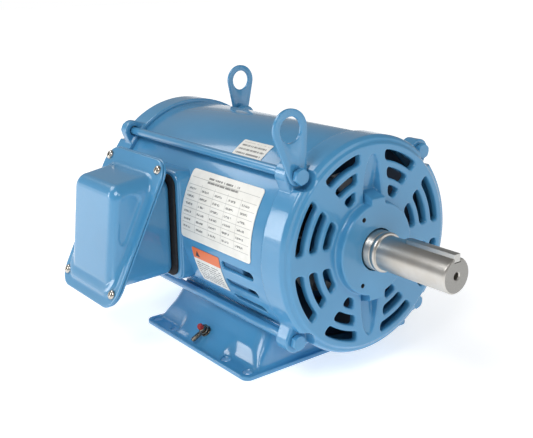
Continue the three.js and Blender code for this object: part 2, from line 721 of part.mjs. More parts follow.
// Cast end ring with fan blades standing on it.
function rotorEndRing(x0, direction) {
  const depth = 12;
  const blades = 9;
  const bladeL = 16;
  const bladeT = 3.4;
  const bladeH = 13;
  const bladeR = 54.5;
  let body = solid(ring(44, ROTOR_R - 1.5, x0, x0 + direction * depth, 27));
  for (let i = 0; i < blades; i += 1) {
    const blade = new THREE.BoxGeometry(bladeL, bladeT, bladeH);
    blade.translate(x0 + direction * (depth + bladeL / 2 - 1), 0, bladeR);
    blade.rotateX(i * 2 * Math.PI / blades);
    blade.translate(0, 0, SHAFT_HEIGHT);
    body = body.add(solid(blade));
  }
  return body;
}

function shaftBody() {
  const rearR = BEARING_REAR.bore - GAP;
  const rearTip = BEARING_REAR.x - BEARING_REAR.width / 2 + 1;
  const rearStop = BEARING_REAR.x + BEARING_REAR.width / 2 + GAP;
  const frontR = BEARING_FRONT.bore - GAP;
  const frontStop = BEARING_FRONT.x - BEARING_FRONT.width / 2 - GAP;
  const collarBack = BEARING_FRONT.x + BEARING_FRONT.width / 2 + GAP + 1;
  const rearJournal = [
    [0, rearTip],
    [BEARING_REAR.bore - 1.2, rearTip],
    [rearR, rearTip + 1],
    [rearR, rearStop],
  ];
  const coreSeat = [
    [REAR_BODY_R, rearStop],
    [REAR_BODY_R, CORE_REAR - 8],
    [CORE_SEAT_R, CORE_REAR - 8],
    [CORE_SEAT_R, CORE_FRONT + 8],
    [SHAFT_BODY_R, CORE_FRONT + 8],
    [SHAFT_BODY_R, frontStop],
  ];
  const driveJournal = [
    [frontR, frontStop],
    [frontR, collarBack],
  ];
  const collar = [
    [COLLAR_R, collarBack],
    [COLLAR_R, GROOVE_X - 0.8],
    [COLLAR_R - 0.7, GROOVE_X - 0.4],
    [COLLAR_R - 0.7, GROOVE_X + 0.4],
    [COLLAR_R, GROOVE_X + 0.8],
    [COLLAR_R, SHOULDER_X - 1],
    [COLLAR_R - 1, SHOULDER_X],
  ];
  const extension = [
    [SHAFT_R, SHOULDER_X],
    [SHAFT_R, SHAFT_END_X - 1.6],
    [SHAFT_R - 1.6, SHAFT_END_X],
  ];
  const centreHole = [
    [CENTRE_HOLE_R, SHAFT_END_X],
    [CENTRE_HOLE_R - 1, SHAFT_END_X - 1.2],
    [CENTRE_HOLE_R - 1, SHAFT_END_X - 14],
    [0, SHAFT_END_X - 16.5],
  ];
  const profile = [
    ...rearJournal, ...coreSeat, ...driveJournal, ...collar, ...extension, ...centreHole,
  ];
  const turned = solid(revolve(profile, 26));
  const keyseat = box(
    SHAFT_END_X - KEY_LENGTH - GAP, SHAFT_END_X + 5, -KEY / 2 - 0.15, KEY / 2 + 0.15,
    SHAFT_HEIGHT + SHAFT_R - KEY / 2 - 0.5, SHAFT_HEIGHT + SHAFT_R + 20);
  return turned.subtract(solid(keyseat));
}

function addRotor() {
  add('shaft', shaftBody(), STEEL);
  const low = SHAFT_HEIGHT + SHAFT_R - KEY / 2 - 0.2;
  const keyEnds = [SHAFT_END_X - KEY_LENGTH, SHAFT_END_X - 0.4];
  add('shaft_key', box(...keyEnds, -KEY / 2, KEY / 2, low, low + KEY), STEEL);
  add('rotor_core', solid(ring(CORE_SEAT_R + GAP, ROTOR_R, CORE_REAR, CORE_FRONT, 40)), IRON);
  add('rotor_end_ring_drive', rotorEndRing(CORE_FRONT + GAP, 1), ALUMINIUM);
  add('rotor_end_ring_rear', rotorEndRing(CORE_REAR - GAP, -1), ALUMINIUM);
}

function addBearing(name, { x, bore, outer, width }) {
  const x0 = x - width / 2;
  const x1 = x + width / 2;
  const pitch = (bore + outer) / 2;
  const ball = (outer - bore) * 0.29;
  const trackDepth = 1.2;
  const inner = revolve([
    [bore, x0], [pitch - ball * 0.75, x0], [pitch - ball * 0.75 - trackDepth, x],
    [pitch - ball * 0.75, x1], [bore, x1],
  ], 24);
  add(`${name}_inner_race`, solid(inner), STEEL);
  const outerRing = revolve([
    [pitch + ball * 0.75, x0], [outer, x0], [outer, x1], [pitch + ball * 0.75, x1],
    [pitch + ball * 0.75 + trackDepth, x],
  ], 24);
  add(`${name}_outer_race`, solid(outerRing), STEEL);
  let cage = solid(ring(pitch - 1.2, pitch + 1.2, x - 3.2, x + 3.2, 16));
  for (let i = 0; i < 8; i += 1) {
    const sphere = new THREE.SphereGeometry(ball * 0.72, 6, 4);
    const angle = i * Math.PI / 4;
    sphere.translate(x, pitch * Math.cos(angle), SHAFT_HEIGHT + pitch * Math.sin(angle));
    cage = cage.add(solid(sphere));
  }
  add(`${name}_balls_and_cage`, cage, STEEL);
}

// Inner cap that closes the drive bearing, pulled up by three screws through the hub.
function addBearingCap() {
  const back = BEARING_FRONT.x - BEARING_FRONT.width / 2 - GAP;
  const boreR = SHAFT_BODY_R + 1.5;
  const rimR = 46;
  const profile = [
    [boreR, back],
    [rimR, back],
    [rimR, back - 5],
    [boreR + 10, back - 9],
    [boreR, back - 9],
  ];
  const cap = revolve(profile, 32);
  add('drive_bearing_cap', solid(cap), IRON);
}

// Sheet-metal air deflectors that guide the cooling air through the fan blades.
function addDeflectors() {
  const rimR = 102;
  const bendR = 94;
  const lipR = 70;
  const cone = (flangeX, lipX) => {
    const sheet = Math.sign(flangeX - lipX) * 1.4;
    return revolve([[rimR, flangeX], [bendR, flangeX], [lipR, lipX], [lipR, lipX + sheet],
      [bendR - 0.5, flangeX + sheet], [rimR, flangeX + sheet]], 28);
  };
  add('air_deflector_drive', solid(cone(SHELL_FRONT + 2, CORE_FRONT + TURN_L + 3)), IRON);
  add('air_deflector_rear', solid(cone(SHELL_REAR + 5, CORE_REAR - TURN_L - 6)), IRON);
}

// ---------------------------------------------------------------------------------------------
// Labels and the earthing screw
// ---------------------------------------------------------------------------------------------

// Thin sheet wrapped on the shell between two stations and two angles above the level of -Y.
function wrappedSheet({ x0, x1, low, high, thickness, corner }) {
  const r = SHELL_R + GAP;
  const height = (high - low) * Math.PI / 180 * r;
  const rounding = [0.05, 0.3, 1].map((t) => t * corner);
  const steps = 8;
  const between = (_, i) => THREE.MathUtils.lerp(corner, height - corner, (i + 1) / steps);
  const middle = Array.from({ length: steps - 1 }, between);
  const levels = [0, ...rounding, ...middle, ...rounding.map((v) => height - v).reverse(), height];
  return loft(levels.map((v) => {
    const fromEnd = Math.min(v, height - v, corner);
    const pulled = corner - Math.sqrt(corner ** 2 - (corner - fromEnd) ** 2);
    const angle = low * Math.PI / 180 + v / r;
    const at = (x, radius) => [x, -radius * Math.cos(angle), SHAFT_HEIGHT + radius * Math.sin(angle)];
    const [start, end] = [x0 + pulled, x1 - pulled];
    return [at(start, r), at(end, r), at(end, r + thickness), at(start, r + thickness)];
  }));
}

// Turns a shape made about the Y axis to stand square on the skirt, its Z towards the foot edge.
function onSkirt(geometry) {
  geometry.rotateX(Math.PI - EARTH.lean);
  geometry.translate(0, -EARTH.y, EARTH.z);
  return solid(geometry);
}

function addEarthing() {
  const disc = (r, low, high, sides) => {
    const geometry = new THREE.CylinderGeometry(r, r, high - low, sides);
    geometry.translate(0, (low + high) / 2, 0);
    return onSkirt(geometry);
  };
  const palm = { low: 4.6, high: 5.7 };
  const profile = [
    [0, 0.8], [6.6, 0.8], [6.6, 2.2], [4.6, 2.2], [4.6, palm.low - GAP], [2.2, palm.low - GAP],
    [2.2, palm.high + GAP], [4.6, palm.high + GAP], [4.6, 9], [3.4, 9], [3.4, 13.6], [0, 13.6],
  ];
  const screw = new THREE.LatheGeometry(profile.map(([r, h]) => new THREE.Vector2(r, h)), 12);
  add('earthing_screw', onSkirt(screw), ZINC);
  const barrel = new THREE.CylinderGeometry(2.7, 2.7, 12, 14);
  const wireHole = new THREE.CylinderGeometry(1.8, 1.8, 12, 14);
  wireHole.translate(0, 3, 0);
  const place = (geometry) => {
    geometry.rotateX(Math.PI / 2 - 0.3);
    geometry.translate(0, 7.6, 11.4);
    return onSkirt(geometry);
  };
  const terminal = join(disc(6.2, palm.low, palm.high, 18), place(barrel));
  add('earthing_terminal', cut(terminal, disc(2.7, 0, 20, 12), place(wireHole)), ZINC);
}

// Stations of the labels along the shaft, and their lower and upper edges in degrees above its level.
const LABELS = {
  nameplate: { x0: -0.9 * INCH, x1: 4.0 * INCH, low: -4, high: 35.3, thickness: 0.6, corner: 4 },
  caution_label: { x0: -0.23 * INCH, x1: 1.74 * INCH, low: -31, high: -8.5, thickness: 0.3, corner: 1.5 },
  connection_label: { x0: 0.79 * INCH, x1: 2.7 * INCH, low: 48.7, high: 60.8, thickness: 0.3, corner: 1.5 },
};

function addLabels() {
  Object.entries(LABELS).forEach(([name, place]) => add(name, wrappedSheet(place), PAPER));
}

add('drive_end_bracket', driveBracket(), BLUE);
add('rear_bracket', rearBracket(), BLUE);
add('frame_shell', frameShell(), BLUE);
add('base_saddle', baseSaddle(), BLUE);
addThroughBolts();
addLiftingLugs();
addConduitBox();
addStator();
addRotor();
addBearing('drive_bearing', BEARING_FRONT);
addBearing('rear_bearing', BEARING_REAR);
addBearingCap();
addDeflectors();
addEarthing();
addLabels();

export default motor;
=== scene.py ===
"""Looks of the foot-mounted electric motor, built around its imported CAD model.

Lengths in the shape functions are millimetres in the CAD frame: X along the shaft to the drive end,
the conduit box on -Y, Z up, the origin on the floor below the shaft. Meshes are written in metres.
"""

import json
import math

import bmesh
import bpy
from mathutils import Matrix, Vector


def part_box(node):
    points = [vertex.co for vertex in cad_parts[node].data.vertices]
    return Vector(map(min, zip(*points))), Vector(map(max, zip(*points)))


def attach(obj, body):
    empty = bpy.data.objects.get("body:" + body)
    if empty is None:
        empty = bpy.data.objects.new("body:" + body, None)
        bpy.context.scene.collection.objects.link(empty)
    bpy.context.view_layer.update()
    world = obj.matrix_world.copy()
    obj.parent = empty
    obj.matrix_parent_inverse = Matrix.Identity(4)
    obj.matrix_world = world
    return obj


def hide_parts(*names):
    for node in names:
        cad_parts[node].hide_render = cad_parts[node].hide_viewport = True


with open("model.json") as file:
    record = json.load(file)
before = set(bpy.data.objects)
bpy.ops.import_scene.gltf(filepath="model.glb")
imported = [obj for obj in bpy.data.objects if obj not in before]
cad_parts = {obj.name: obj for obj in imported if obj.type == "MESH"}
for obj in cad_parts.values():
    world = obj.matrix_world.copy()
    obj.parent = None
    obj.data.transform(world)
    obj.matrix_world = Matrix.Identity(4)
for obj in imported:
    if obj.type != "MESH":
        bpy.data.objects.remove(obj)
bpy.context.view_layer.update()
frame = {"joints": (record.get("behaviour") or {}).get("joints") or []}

MM = 0.001
INCH = 25.4
STATOR = "stator"
ROTOR = "rotor"


def span(node):
    """Lowest and highest corner of a CAD node, in millimetres."""
    low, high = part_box(node)
    return Vector(low) / MM, Vector(high) / MM


SHAFT = next(j for j in frame["joints"] if j["name"] == "rotor_spin")
AXIS_Z = SHAFT["pos_m"][2] / MM
SHELL_R = 110.0

# ---------------------------------------------------------------------------------------------
# Mesh helpers
# ---------------------------------------------------------------------------------------------


def new_object(name, mesh):
    piece = bpy.data.objects.new(name, mesh)
    bpy.context.scene.collection.objects.link(piece)
    return piece


def mesh_piece(name, points, faces):
    """An object from points in millimetres, its faces turned to point outwards."""
    mesh = bpy.data.meshes.new(name)
    mesh.from_pydata([Vector(p) * MM for p in points], [], faces)
    made = bmesh.new()
    made.from_mesh(mesh)
    bmesh.ops.remove_doubles(made, verts=made.verts, dist=1e-7)
    bmesh.ops.recalc_face_normals(made, faces=made.faces)
    made.to_mesh(mesh)
    made.free()
    return new_object(name, mesh)


def arc(centre, radius, start, end, steps):
    """Points on an arc in a plane; angles in degrees."""
    angles = [math.radians(start + (end - start) * i / steps) for i in range(steps + 1)]
    return [(centre[0] + radius * math.cos(a), centre[1] + radius * math.sin(a)) for a in angles]


def rounded(points, radius, steps=5):
    """A closed outline with its corners turned into arcs of one radius, or of one radius each."""
    radii = radius if isinstance(radius, (list, tuple)) else [radius] * len(points)
    count = len(points)
    out = []
    for i, corner in enumerate(points):
        here = Vector(corner)
        before = Vector(points[i - 1]) - here
        after = Vector(points[(i + 1) % count]) - here
        if radii[i] <= 0 or before.length < 1e-6 or after.length < 1e-6:
            out.append(tuple(here))
            continue
        opening = before.angle(after)
        if opening > math.radians(177):
            out.append(tuple(here))
            continue
        reach = min(radii[i] / math.tan(opening / 2), 0.48 * before.length, 0.48 * after.length)
        r = reach * math.tan(opening / 2)
        before.normalize()
        after.normalize()
        centre = here + (before + after).normalized() * (r / math.sin(opening / 2))
        first = here + before * reach - centre
        last = here + after * reach - centre
        turn = math.atan2(first.x * last.y - first.y * last.x, first.dot(last))
        for k in range(steps + 1):
            out.append(tuple(centre + Matrix.Rotation(turn * k / steps, 2) @ first))
    return out


def lathe(name, profile, centre=(0.0, None), segments=144):
    """A solid turned about a line along X. The profile is a list of (radius, x)."""
    cy, cz = centre[0], AXIS_Z if centre[1] is None else centre[1]
    points = []
    faces = []
    count = len(profile)
    for i in range(segments):
        angle = 2 * math.pi * i / segments
        for r, x in profile:
            points.append((x, cy + r * math.cos(angle), cz + r * math.sin(angle)))
    for i in range(segments):
        j = (i + 1) % segments
        for k in range(count):
            m = (k + 1) % count
            if profile[k][0] < 1e-6 and profile[m][0] < 1e-6:
                continue
            faces.append((i * count + k, i * count + m, j * count + m, j * count + k))
    return mesh_piece(name, points, faces)


def bar(name, radius, x0, x1, y, z, segments=64):
    """A round bar along X."""
    return lathe(name, [(0, x0), (radius, x0), (radius, x1), (0, x1)], (y, z), segments)


def tube(name, inner, outer, x0, x1, edge, steps, segments):
    """A ring about the shaft's axis with its edges rounded, by one radius or by one each."""
    corners = [(inner, x0), (outer, x0), (outer, x1), (inner, x1)]
    return lathe(name, rounded(corners, edge, steps=steps), segments=segments)


def loft(name, rings):
    """A closed skin through rings with the same number of points, capped at both ends."""
    count = len(rings[0])
    points = [p for ring in rings for p in ring]
    faces = [tuple(range(count)), tuple(range(len(points) - count, len(points)))]
    for level in range(len(rings) - 1):
        for i in range(count):
            j = (i + 1) % count
            a, b = level * count, (level + 1) * count
            faces.append((a + i, a + j, b + j, b + i))
    return mesh_piece(name, points, faces)


def prism(name, outline, x0, x1):
    """An outline in (Y, Z) extruded along X."""
    return loft(name, [[(x, y, z) for y, z in outline] for x in (x0, x1)])


def joined(name, pieces):
    """One object holding the meshes of several, which are removed."""
    made = bmesh.new()
    for piece in pieces:
        made.from_mesh(piece.data)
        bpy.data.objects.remove(piece)
    mesh = bpy.data.meshes.new(name)
    made.to_mesh(mesh)
    made.free()
    return new_object(name, mesh)


def bake_modifiers(piece):
    graph = bpy.context.evaluated_depsgraph_get()
    mesh = bpy.data.meshes.new_from_object(piece.evaluated_get(graph))
    piece.modifiers.clear()
    piece.data = mesh
    return piece


def boolean(piece, tool, operation="DIFFERENCE", keep_tool=False):
    step = piece.modifiers.new("cut", "BOOLEAN")
    step.operation = operation
    step.solver = "EXACT"
    step.object = tool
    bake_modifiers(piece)
    if not keep_tool:
        bpy.data.objects.remove(tool)
    return piece


def voxel(grain):
    return grain


def cast_skin(piece, grain, relax=4):
    """Fuses overlapping solids into one skin with softly rounded edges, as on a casting."""
    fuse = piece.modifiers.new("fuse", "REMESH")
    fuse.mode = "VOXEL"
    fuse.voxel_size = voxel(grain) * MM
    fuse.adaptivity = 0.0
    soften = piece.modifiers.new("soften", "SMOOTH")
    soften.factor = 0.5
    soften.iterations = relax
    return bake_modifiers(piece)


def soften_region(piece, weight_at, reach, grain):
    """Rounds a voxel skin over about reach millimetres, where weight_at(point) is above zero."""
    group = piece.vertex_groups.new(name="softened")
    for vertex in piece.data.vertices:
        group.add([vertex.index], weight_at(vertex.co / MM), "REPLACE")
    soften = piece.modifiers.new("soften", "SMOOTH")
    soften.factor = 0.5
    soften.iterations = round((2 * reach / voxel(grain)) ** 2)
    soften.vertex_group = group.name
    bake_modifiers(piece)
    piece.vertex_groups.clear()
    return piece


def smooth_shaded(piece, angle=180):
    mesh = piece.data
    mesh.shade_smooth()
    if angle < 180:
        mesh.set_sharp_from_angle(angle=math.radians(angle))
    return piece


def finish(piece, material, body, slot, *nodes):
    """Gives a piece its material and body, and hides the CAD nodes that it stands for. slot is not used."""
    piece.data.materials.clear()
    for one in material if isinstance(material, (list, tuple)) else [material]:
        piece.data.materials.append(one)
    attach(piece, body)
    if nodes:
        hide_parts(*nodes)
    return piece


# ---------------------------------------------------------------------------------------------
# Materials
# ---------------------------------------------------------------------------------------------


def srgb(r, g, b):
    def linear(v):
        v = v / 255
        return v / 12.92 if v <= 0.04045 else ((v + 0.055) / 1.055) ** 2.4

    return (linear(r), linear(g), linear(b), 1.0)


def toned(colour, factor):
    """A colour made darker or lighter."""
    return tuple(min(1.0, c * factor) for c in colour[:3]) + (1.0,)


class Surface:
    """A Principled material with short names for the nodes that it needs."""

    def __init__(self, name, **sockets):
        self.material = bpy.data.materials.new(name)
        self.material.use_nodes = True
        self.tree = self.material.node_tree
        self.shader = self.tree.nodes["Principled BSDF"]
        for socket, value in sockets.items():
            self.shader.inputs[socket.replace("_", " ")].default_value = value
        self.place = self.node("ShaderNodeTexCoord").outputs["Object"]

    def node(self, kind, **values):
        made = self.tree.nodes.new(kind)
        for key, value in values.items():
            if key in made.inputs:
                made.inputs[key].default_value = value
            else:
                setattr(made, key, value)
        return made

    def link(self, source, target):
        self.tree.links.new(source, target)

    def noise(self, scale, detail=3.0, roughness=0.55, stretch=None):
        made = self.node("ShaderNodeTexNoise", Scale=scale, Detail=detail, Roughness=roughness)
        self.link(self.stretched(stretch), made.inputs["Vector"])
        return made.outputs["Fac"]

    def stretched(self, stretch):
        if stretch is None:
            return self.place
        made = self.node("ShaderNodeMapping")
        made.inputs["Scale"].default_value = stretch
        self.link(self.place, made.inputs["Vector"])
        return made.outputs["Vector"]

    def ramp(self, factor, *stops):
        made = self.node("ShaderNodeValToRGB")
        ramp = made.color_ramp
        while len(ramp.elements) < len(stops):
            ramp.elements.new(0.5)
        for element, (position, colour) in zip(ramp.elements, stops):
            element.position = position
            element.color = colour
        self.link(factor, made.inputs["Fac"])
        return made.outputs["Color"]

    def between(self, factor, low, high):
        made = self.node("ShaderNodeMapRange")
        made.inputs["To Min"].default_value = low
        made.inputs["To Max"].default_value = high
        self.link(factor, made.inputs["Value"])
        return made.outputs["Result"]

    def maths(self, operation, a, b=None):
        made = self.node("ShaderNodeMath", operation=operation)
        for socket, value in zip(made.inputs, (a, b)):
            if value is None:
                continue
            if isinstance(value, (int, float)):
                socket.default_value = value
            else:
                self.link(value, socket)
        return made.outputs["Value"]

    def mix(self, factor, a, b):
        made = self.node("ShaderNodeMix", data_type="RGBA")
        for name, value in (("Factor", factor), ("A", a), ("B", b)):
            kind = "VALUE" if name == "Factor" else "RGBA"
            socket = next(s for s in made.inputs if s.name == name and s.type == kind)
            if isinstance(value, (int, float, tuple)):
                socket.default_value = value
            else:
                self.link(value, socket)
        return next(s for s in made.outputs if s.type == "RGBA")

    def axes(self):
        made = self.node("ShaderNodeSeparateXYZ")
        self.link(self.place, made.inputs["Vector"])
        return made.outputs["X"], made.outputs["Y"], made.outputs["Z"]

    def colour(self, source):
        self.link(source, self.shader.inputs["Base Color"])

    def rough(self, source):
        self.link(source, self.shader.inputs["Roughness"])

    def bump(self, height, strength, distance):
        made = self.node("ShaderNodeBump", Strength=strength, Distance=distance)
        self.link(height, made.inputs["Height"])
        self.link(made.outputs["Normal"], self.shader.inputs["Normal"])

    def grained(self, grain, dark, light, roughness, bump):
        """Colour, roughness and bump that all follow one grain."""
        self.colour(self.ramp(grain, (0.3, dark), (0.7, light)))
        self.rough(self.between(grain, *roughness))
        self.bump(grain, *bump)
        return self.material


def paint(name, colour):
    """Sprayed enamel: even colour with faint clouding, orange peel and an uneven gloss."""
    s = Surface(name, Coat_Weight=0.55, Coat_Roughness=0.07, Specular_IOR_Level=0.5)
    clouds = s.noise(9.0, 4.0)
    s.colour(s.ramp(clouds, (0.3, toned(colour, 0.93)), (0.7, toned(colour, 1.06))))
    s.rough(s.between(s.noise(60.0, 2.0), 0.17, 0.27))
    s.bump(s.noise(420.0, 2.0), 0.10, 0.0003)
    return s.material


def turned_steel(name, tone):
    """Bright turned steel: fine rings about the shaft and faint brown handling marks."""
    s = Surface(name, Metallic=1.0)
    rings = s.noise(14.0, 3.0, 0.6, stretch=(160.0, 0.6, 0.6))
    stains = s.noise(28.0, 4.0, 0.6)
    brown = (tone[0] * 0.80, tone[1] * 0.74, tone[2] * 0.66, 1.0)
    marks = s.ramp(stains, (0.42, (0, 0, 0, 1)), (0.8, (0.75, 0.75, 0.75, 1)))
    s.colour(s.mix(marks, tone, brown))
    s.rough(s.between(rings, 0.22, 0.42))
    s.bump(rings, 0.22, 0.0001)
    return s.material


def ground_steel(name, tone):
    """Ground steel: fine straight lines along the shaft."""
    s = Surface(name, Metallic=1.0)
    lines = s.noise(30.0, 2.0, 0.6, stretch=(1.0, 26.0, 26.0))
    return s.grained(lines, toned(tone, 0.86), tone, (0.25, 0.42), (0.15, 0.0001))


def zinc(name, dull, bright):
    s = Surface(name, Metallic=1.0)
    return s.grained(s.noise(300.0, 3.0), dull, bright, (0.15, 0.30), (0.10, 0.0001))


def laminations(name, colour):
    """Stacked steel sheets: fine lines across the shaft direction, seen on edge."""
    s = Surface(name, Metallic=0.2, Specular_IOR_Level=0.4)
    sheets = s.node("ShaderNodeTexWave", Scale=320.0, Distortion=1.5, bands_direction="X")
    s.link(s.place, sheets.inputs["Vector"])
    s.colour(s.ramp(sheets.outputs["Fac"], (0.2, toned(colour, 0.55)), (0.8, colour)))
    s.rough(s.between(s.noise(120.0), 0.4, 0.65))
    s.bump(sheets.outputs["Fac"], 0.5, 0.0003)
    return s.material


def cast_metal(name, colour, metallic=0.9, roughness=(0.4, 0.6)):
    s = Surface(name, Metallic=metallic)
    return s.grained(s.noise(260.0, 4.0, 0.6), toned(colour, 0.75), colour, roughness, (0.35, 0.0003))


def winding(name):
    """Varnished coil ends: bundles of wire laid round the bore, in a dark navy that is partly painted shade.
    """
    s = Surface(name, Coat_Weight=0.5, Coat_Roughness=0.15)
    strands = s.node("ShaderNodeTexWave", Scale=90.0, Distortion=6.0, bands_direction="DIAGONAL")
    s.link(s.place, strands.inputs["Vector"])
    # The strands' dark navy is partly painted shade for the inside of the motor; the wire pattern and varnish
    # gloss are the coils' own.
    s.colour(s.ramp(strands.outputs["Fac"], (0.1, (0.015, 0.03, 0.05, 1)), (0.9, (0.05, 0.10, 0.17, 1))))
    s.rough(s.between(s.noise(90.0), 0.25, 0.5))
    s.bump(strands.outputs["Fac"], 0.8, 0.0010)
    return s.material


def rubber(name):
    s = Surface(name, Specular_IOR_Level=0.3)
    dark, light = (0.012, 0.012, 0.013, 1), (0.028, 0.028, 0.03, 1)
    return s.grained(s.noise(600.0, 2.0), dark, light, (0.6, 0.8), (0.3, 0.0002))


def red_varnish(name):
    s = Surface(name, Coat_Weight=0.3, Coat_Roughness=0.2)
    dark, light = srgb(150, 34, 26), srgb(186, 52, 38)
    return s.grained(s.noise(400.0, 3.0), dark, light, (0.35, 0.55), (0.3, 0.0002))


def backdrop(name):
    """Plain white sweep: it glows a little more with distance, so that it stays even to the horizon."""
    s = Surface(name, Specular_IOR_Level=0.2, Emission_Color=(1, 1, 1, 1))
    away = s.node("ShaderNodeVectorMath", operation="LENGTH")
    s.link(s.place, away.inputs[0])
    near_to_far = s.maths("DIVIDE", away.outputs["Value"], 2.5)
    s.link(s.between(near_to_far, 0.60, 0.84), s.shader.inputs["Emission Strength"])
    s.colour(s.ramp(s.noise(0.8, 2.0), (0.3, (0.86, 0.86, 0.86, 1)), (0.7, (0.89, 0.89, 0.89, 1))))
    s.rough(s.between(s.noise(2.0), 0.7, 0.8))
    return s.material


BLUE = paint("blue_enamel", srgb(74, 146, 192))
TURNED = turned_steel("turned_steel", (0.60, 0.585, 0.555, 1.0))
GROUND = ground_steel("ground_steel", (0.56, 0.56, 0.54, 1.0))
# Darker copy of the ground steel: painted shade for the shaft's end face.
SHADED_END_STEEL = ground_steel("shaded_end_steel", (0.33, 0.325, 0.31, 1.0))
ZINC = zinc("bright_zinc", (0.42, 0.40, 0.35, 1.0), (0.66, 0.64, 0.60, 1.0))
# Darker, browner zinc for the earthing screw and terminal.
DARK_ZINC = zinc("dark_zinc", (0.12, 0.10, 0.08, 1.0), (0.38, 0.34, 0.28, 1.0))
RED = red_varnish("red_varnish")
CORE = laminations("core_laminations", srgb(84, 146, 194))
ROTOR_CORE = laminations("rotor_laminations", srgb(90, 92, 96))
ALUMINIUM = cast_metal("cast_aluminium", (0.55, 0.56, 0.57, 1.0))
RAW_IRON = cast_metal("raw_cast_iron", (0.10, 0.105, 0.11, 1.0), 0.4, (0.5, 0.7))
# Dark navy deflector sheet: painted shade, standing for the shade inside the motor behind the vents.
SHADED_DEFLECTOR = cast_metal("deflector_sheet", srgb(30, 52, 76), 0.3, (0.35, 0.5))
BEARING = ground_steel("bearing_steel", (0.62, 0.62, 0.63, 1.0))
SHADED_COILS = winding("varnished_coils")
GASKET = rubber("gasket_rubber")


def painted(piece, angle, node):
    """Finishes a blue piece of the stator body: angle is where its shading turns sharp."""
    return finish(smooth_shaded(piece, angle), BLUE, STATOR, "blue_paint", node)


def on_shell(s):
    """Distance along the shaft and height round the shell above its level, both in millimetres."""
    x, y, z = s.axes()
    lift = s.maths("SUBTRACT", z, AXIS_Z * MM)
    out = s.maths("MULTIPLY", y, -1.0)
    angle = s.maths("ARCTAN2", lift, out)
    return s.maths("MULTIPLY", x, 1 / MM), s.maths("MULTIPLY", angle, SHELL_R)


def within(s, value, low, high):
    above = s.maths("GREATER_THAN", value, low)
    below = s.maths("LESS_THAN", value, high)
    return s.maths("MULTIPLY", above, below)


def inside(s, along, up, across, high):
    """One inside a box on the shell, given as its two stretches, and nothing outside it."""
    return s.maths("MULTIPLY", within(s, along, *across), within(s, up, *high))


def print_rows(s, along, up, pitch, share, fill, word=0.9):
    """Rows of short dashes, as unreadable small print looks from a distance."""
    row = s.maths("FRACT", s.maths("DIVIDE", up, pitch))
    inked = s.maths("LESS_THAN", row, share)
    level = s.maths("FLOOR", s.maths("DIVIDE", up, pitch))
    place = s.node("ShaderNodeCombineXYZ")
    s.link(s.maths("MULTIPLY", along, word), place.inputs["X"])
    s.link(s.maths("MULTIPLY", level, 7.31), place.inputs["Y"])
    grains = s.node("ShaderNodeTexNoise", Scale=1.0, Detail=1.0)
    s.link(place.outputs["Vector"], grains.inputs["Vector"])
    return s.maths("MULTIPLY", inked, s.maths("GREATER_THAN", grains.outputs["Fac"], fill))


def label(name, draw):
    """White film with what draw adds to it: draw takes the surface, its two directions and the paper."""
    s = Surface(name, Coat_Weight=0.2, Coat_Roughness=0.25)
    grain = s.noise(70.0, 2.0)
    paper = s.ramp(grain, (0.3, srgb(232, 231, 224)), (0.7, srgb(243, 242, 236)))
    along, up = on_shell(s)
    s.colour(draw(s, along, up, paper))
    s.rough(s.between(grain, 0.34, 0.48))
    s.bump(s.noise(500.0), 0.05, 0.0001)
    return s.material


INK = srgb(84, 84, 82)
FADED_INK = srgb(150, 150, 146)


def nameplate_print(s, along, up, paper):
    """Ruled form with a heading and columns of boxes, each with a short illegible mark."""
    left, right = -0.9 * INCH + 3, 4.0 * INCH - 3
    low, high = math.radians(-4) * SHELL_R + 3, math.radians(35.3) * SHELL_R - 3
    form_low, line, column = low + 6.0, 8.2, 23.6
    form_high = low + 7 * line
    across_form = within(s, along, left, right)
    rules = None
    for i in range(8):
        height = form_low + line * i
        rule = s.maths("MULTIPLY", within(s, up, height - 0.28, height + 0.28), across_form)
        rules = rule if rules is None else s.maths("MAXIMUM", rules, rule)
    for i in range(1, 5):
        x = left + column * i
        upright = inside(s, along, up, (x - 0.26, x + 0.26), (form_low, form_high))
        rules = s.maths("MAXIMUM", rules, upright)
    in_box = s.maths("FRACT", s.maths("DIVIDE", s.maths("SUBTRACT", along, left), column))
    on_line = s.maths("FRACT", s.maths("DIVIDE", s.maths("SUBTRACT", up, form_low), line))
    cell = s.maths("MULTIPLY", within(s, in_box, 0.08, 0.62), within(s, on_line, 0.35, 0.62))
    cell = s.maths("MULTIPLY", s.maths("MULTIPLY", cell, across_form), within(s, up, form_low, form_high))
    heading = inside(s, along, up, (left + 30, left + 84), (form_high + 2.5, high - 1))
    marks = s.maths("MULTIPLY", print_rows(s, along, up, 1.3, 1.0, 0.46, 0.55), cell)
    title = s.maths("MULTIPLY", print_rows(s, along, up, 4.3, 0.5, 0.42, 0.5), heading)
    drawn = s.mix(s.maths("MULTIPLY", s.maths("MAXIMUM", marks, title), 0.8), paper, INK)
    return s.mix(s.maths("MULTIPLY", rules, 0.7), drawn, FADED_INK)


def caution_print(s, along, up, paper):
    """Orange band with a dark triangle above rows of illegible print."""
    top = math.radians(-8.5) * SHELL_R
    band = within(s, up, top - 12.5, top + 2)
    left = -0.23 * INCH
    print_room = inside(s, along, up, (left + 3, left + 46), (top - 41, top - 14.5))
    marks = s.maths("MULTIPLY", print_rows(s, along, up, 3.1, 0.45, 0.42, 0.4), print_room)
    drawn = s.mix(s.maths("MULTIPLY", marks, 0.8), paper, INK)
    drawn = s.mix(band, drawn, srgb(236, 118, 58))
    across = s.maths("ABSOLUTE", s.maths("SUBTRACT", along, left + 9.0))
    roof = s.maths("MULTIPLY", s.maths("SUBTRACT", top - 3.0, up), 0.6)
    triangle = s.maths("MULTIPLY", s.maths("LESS_THAN", across, roof), within(s, up, top - 10.0, top - 3.0))
    return s.mix(triangle, drawn, srgb(34, 30, 28))


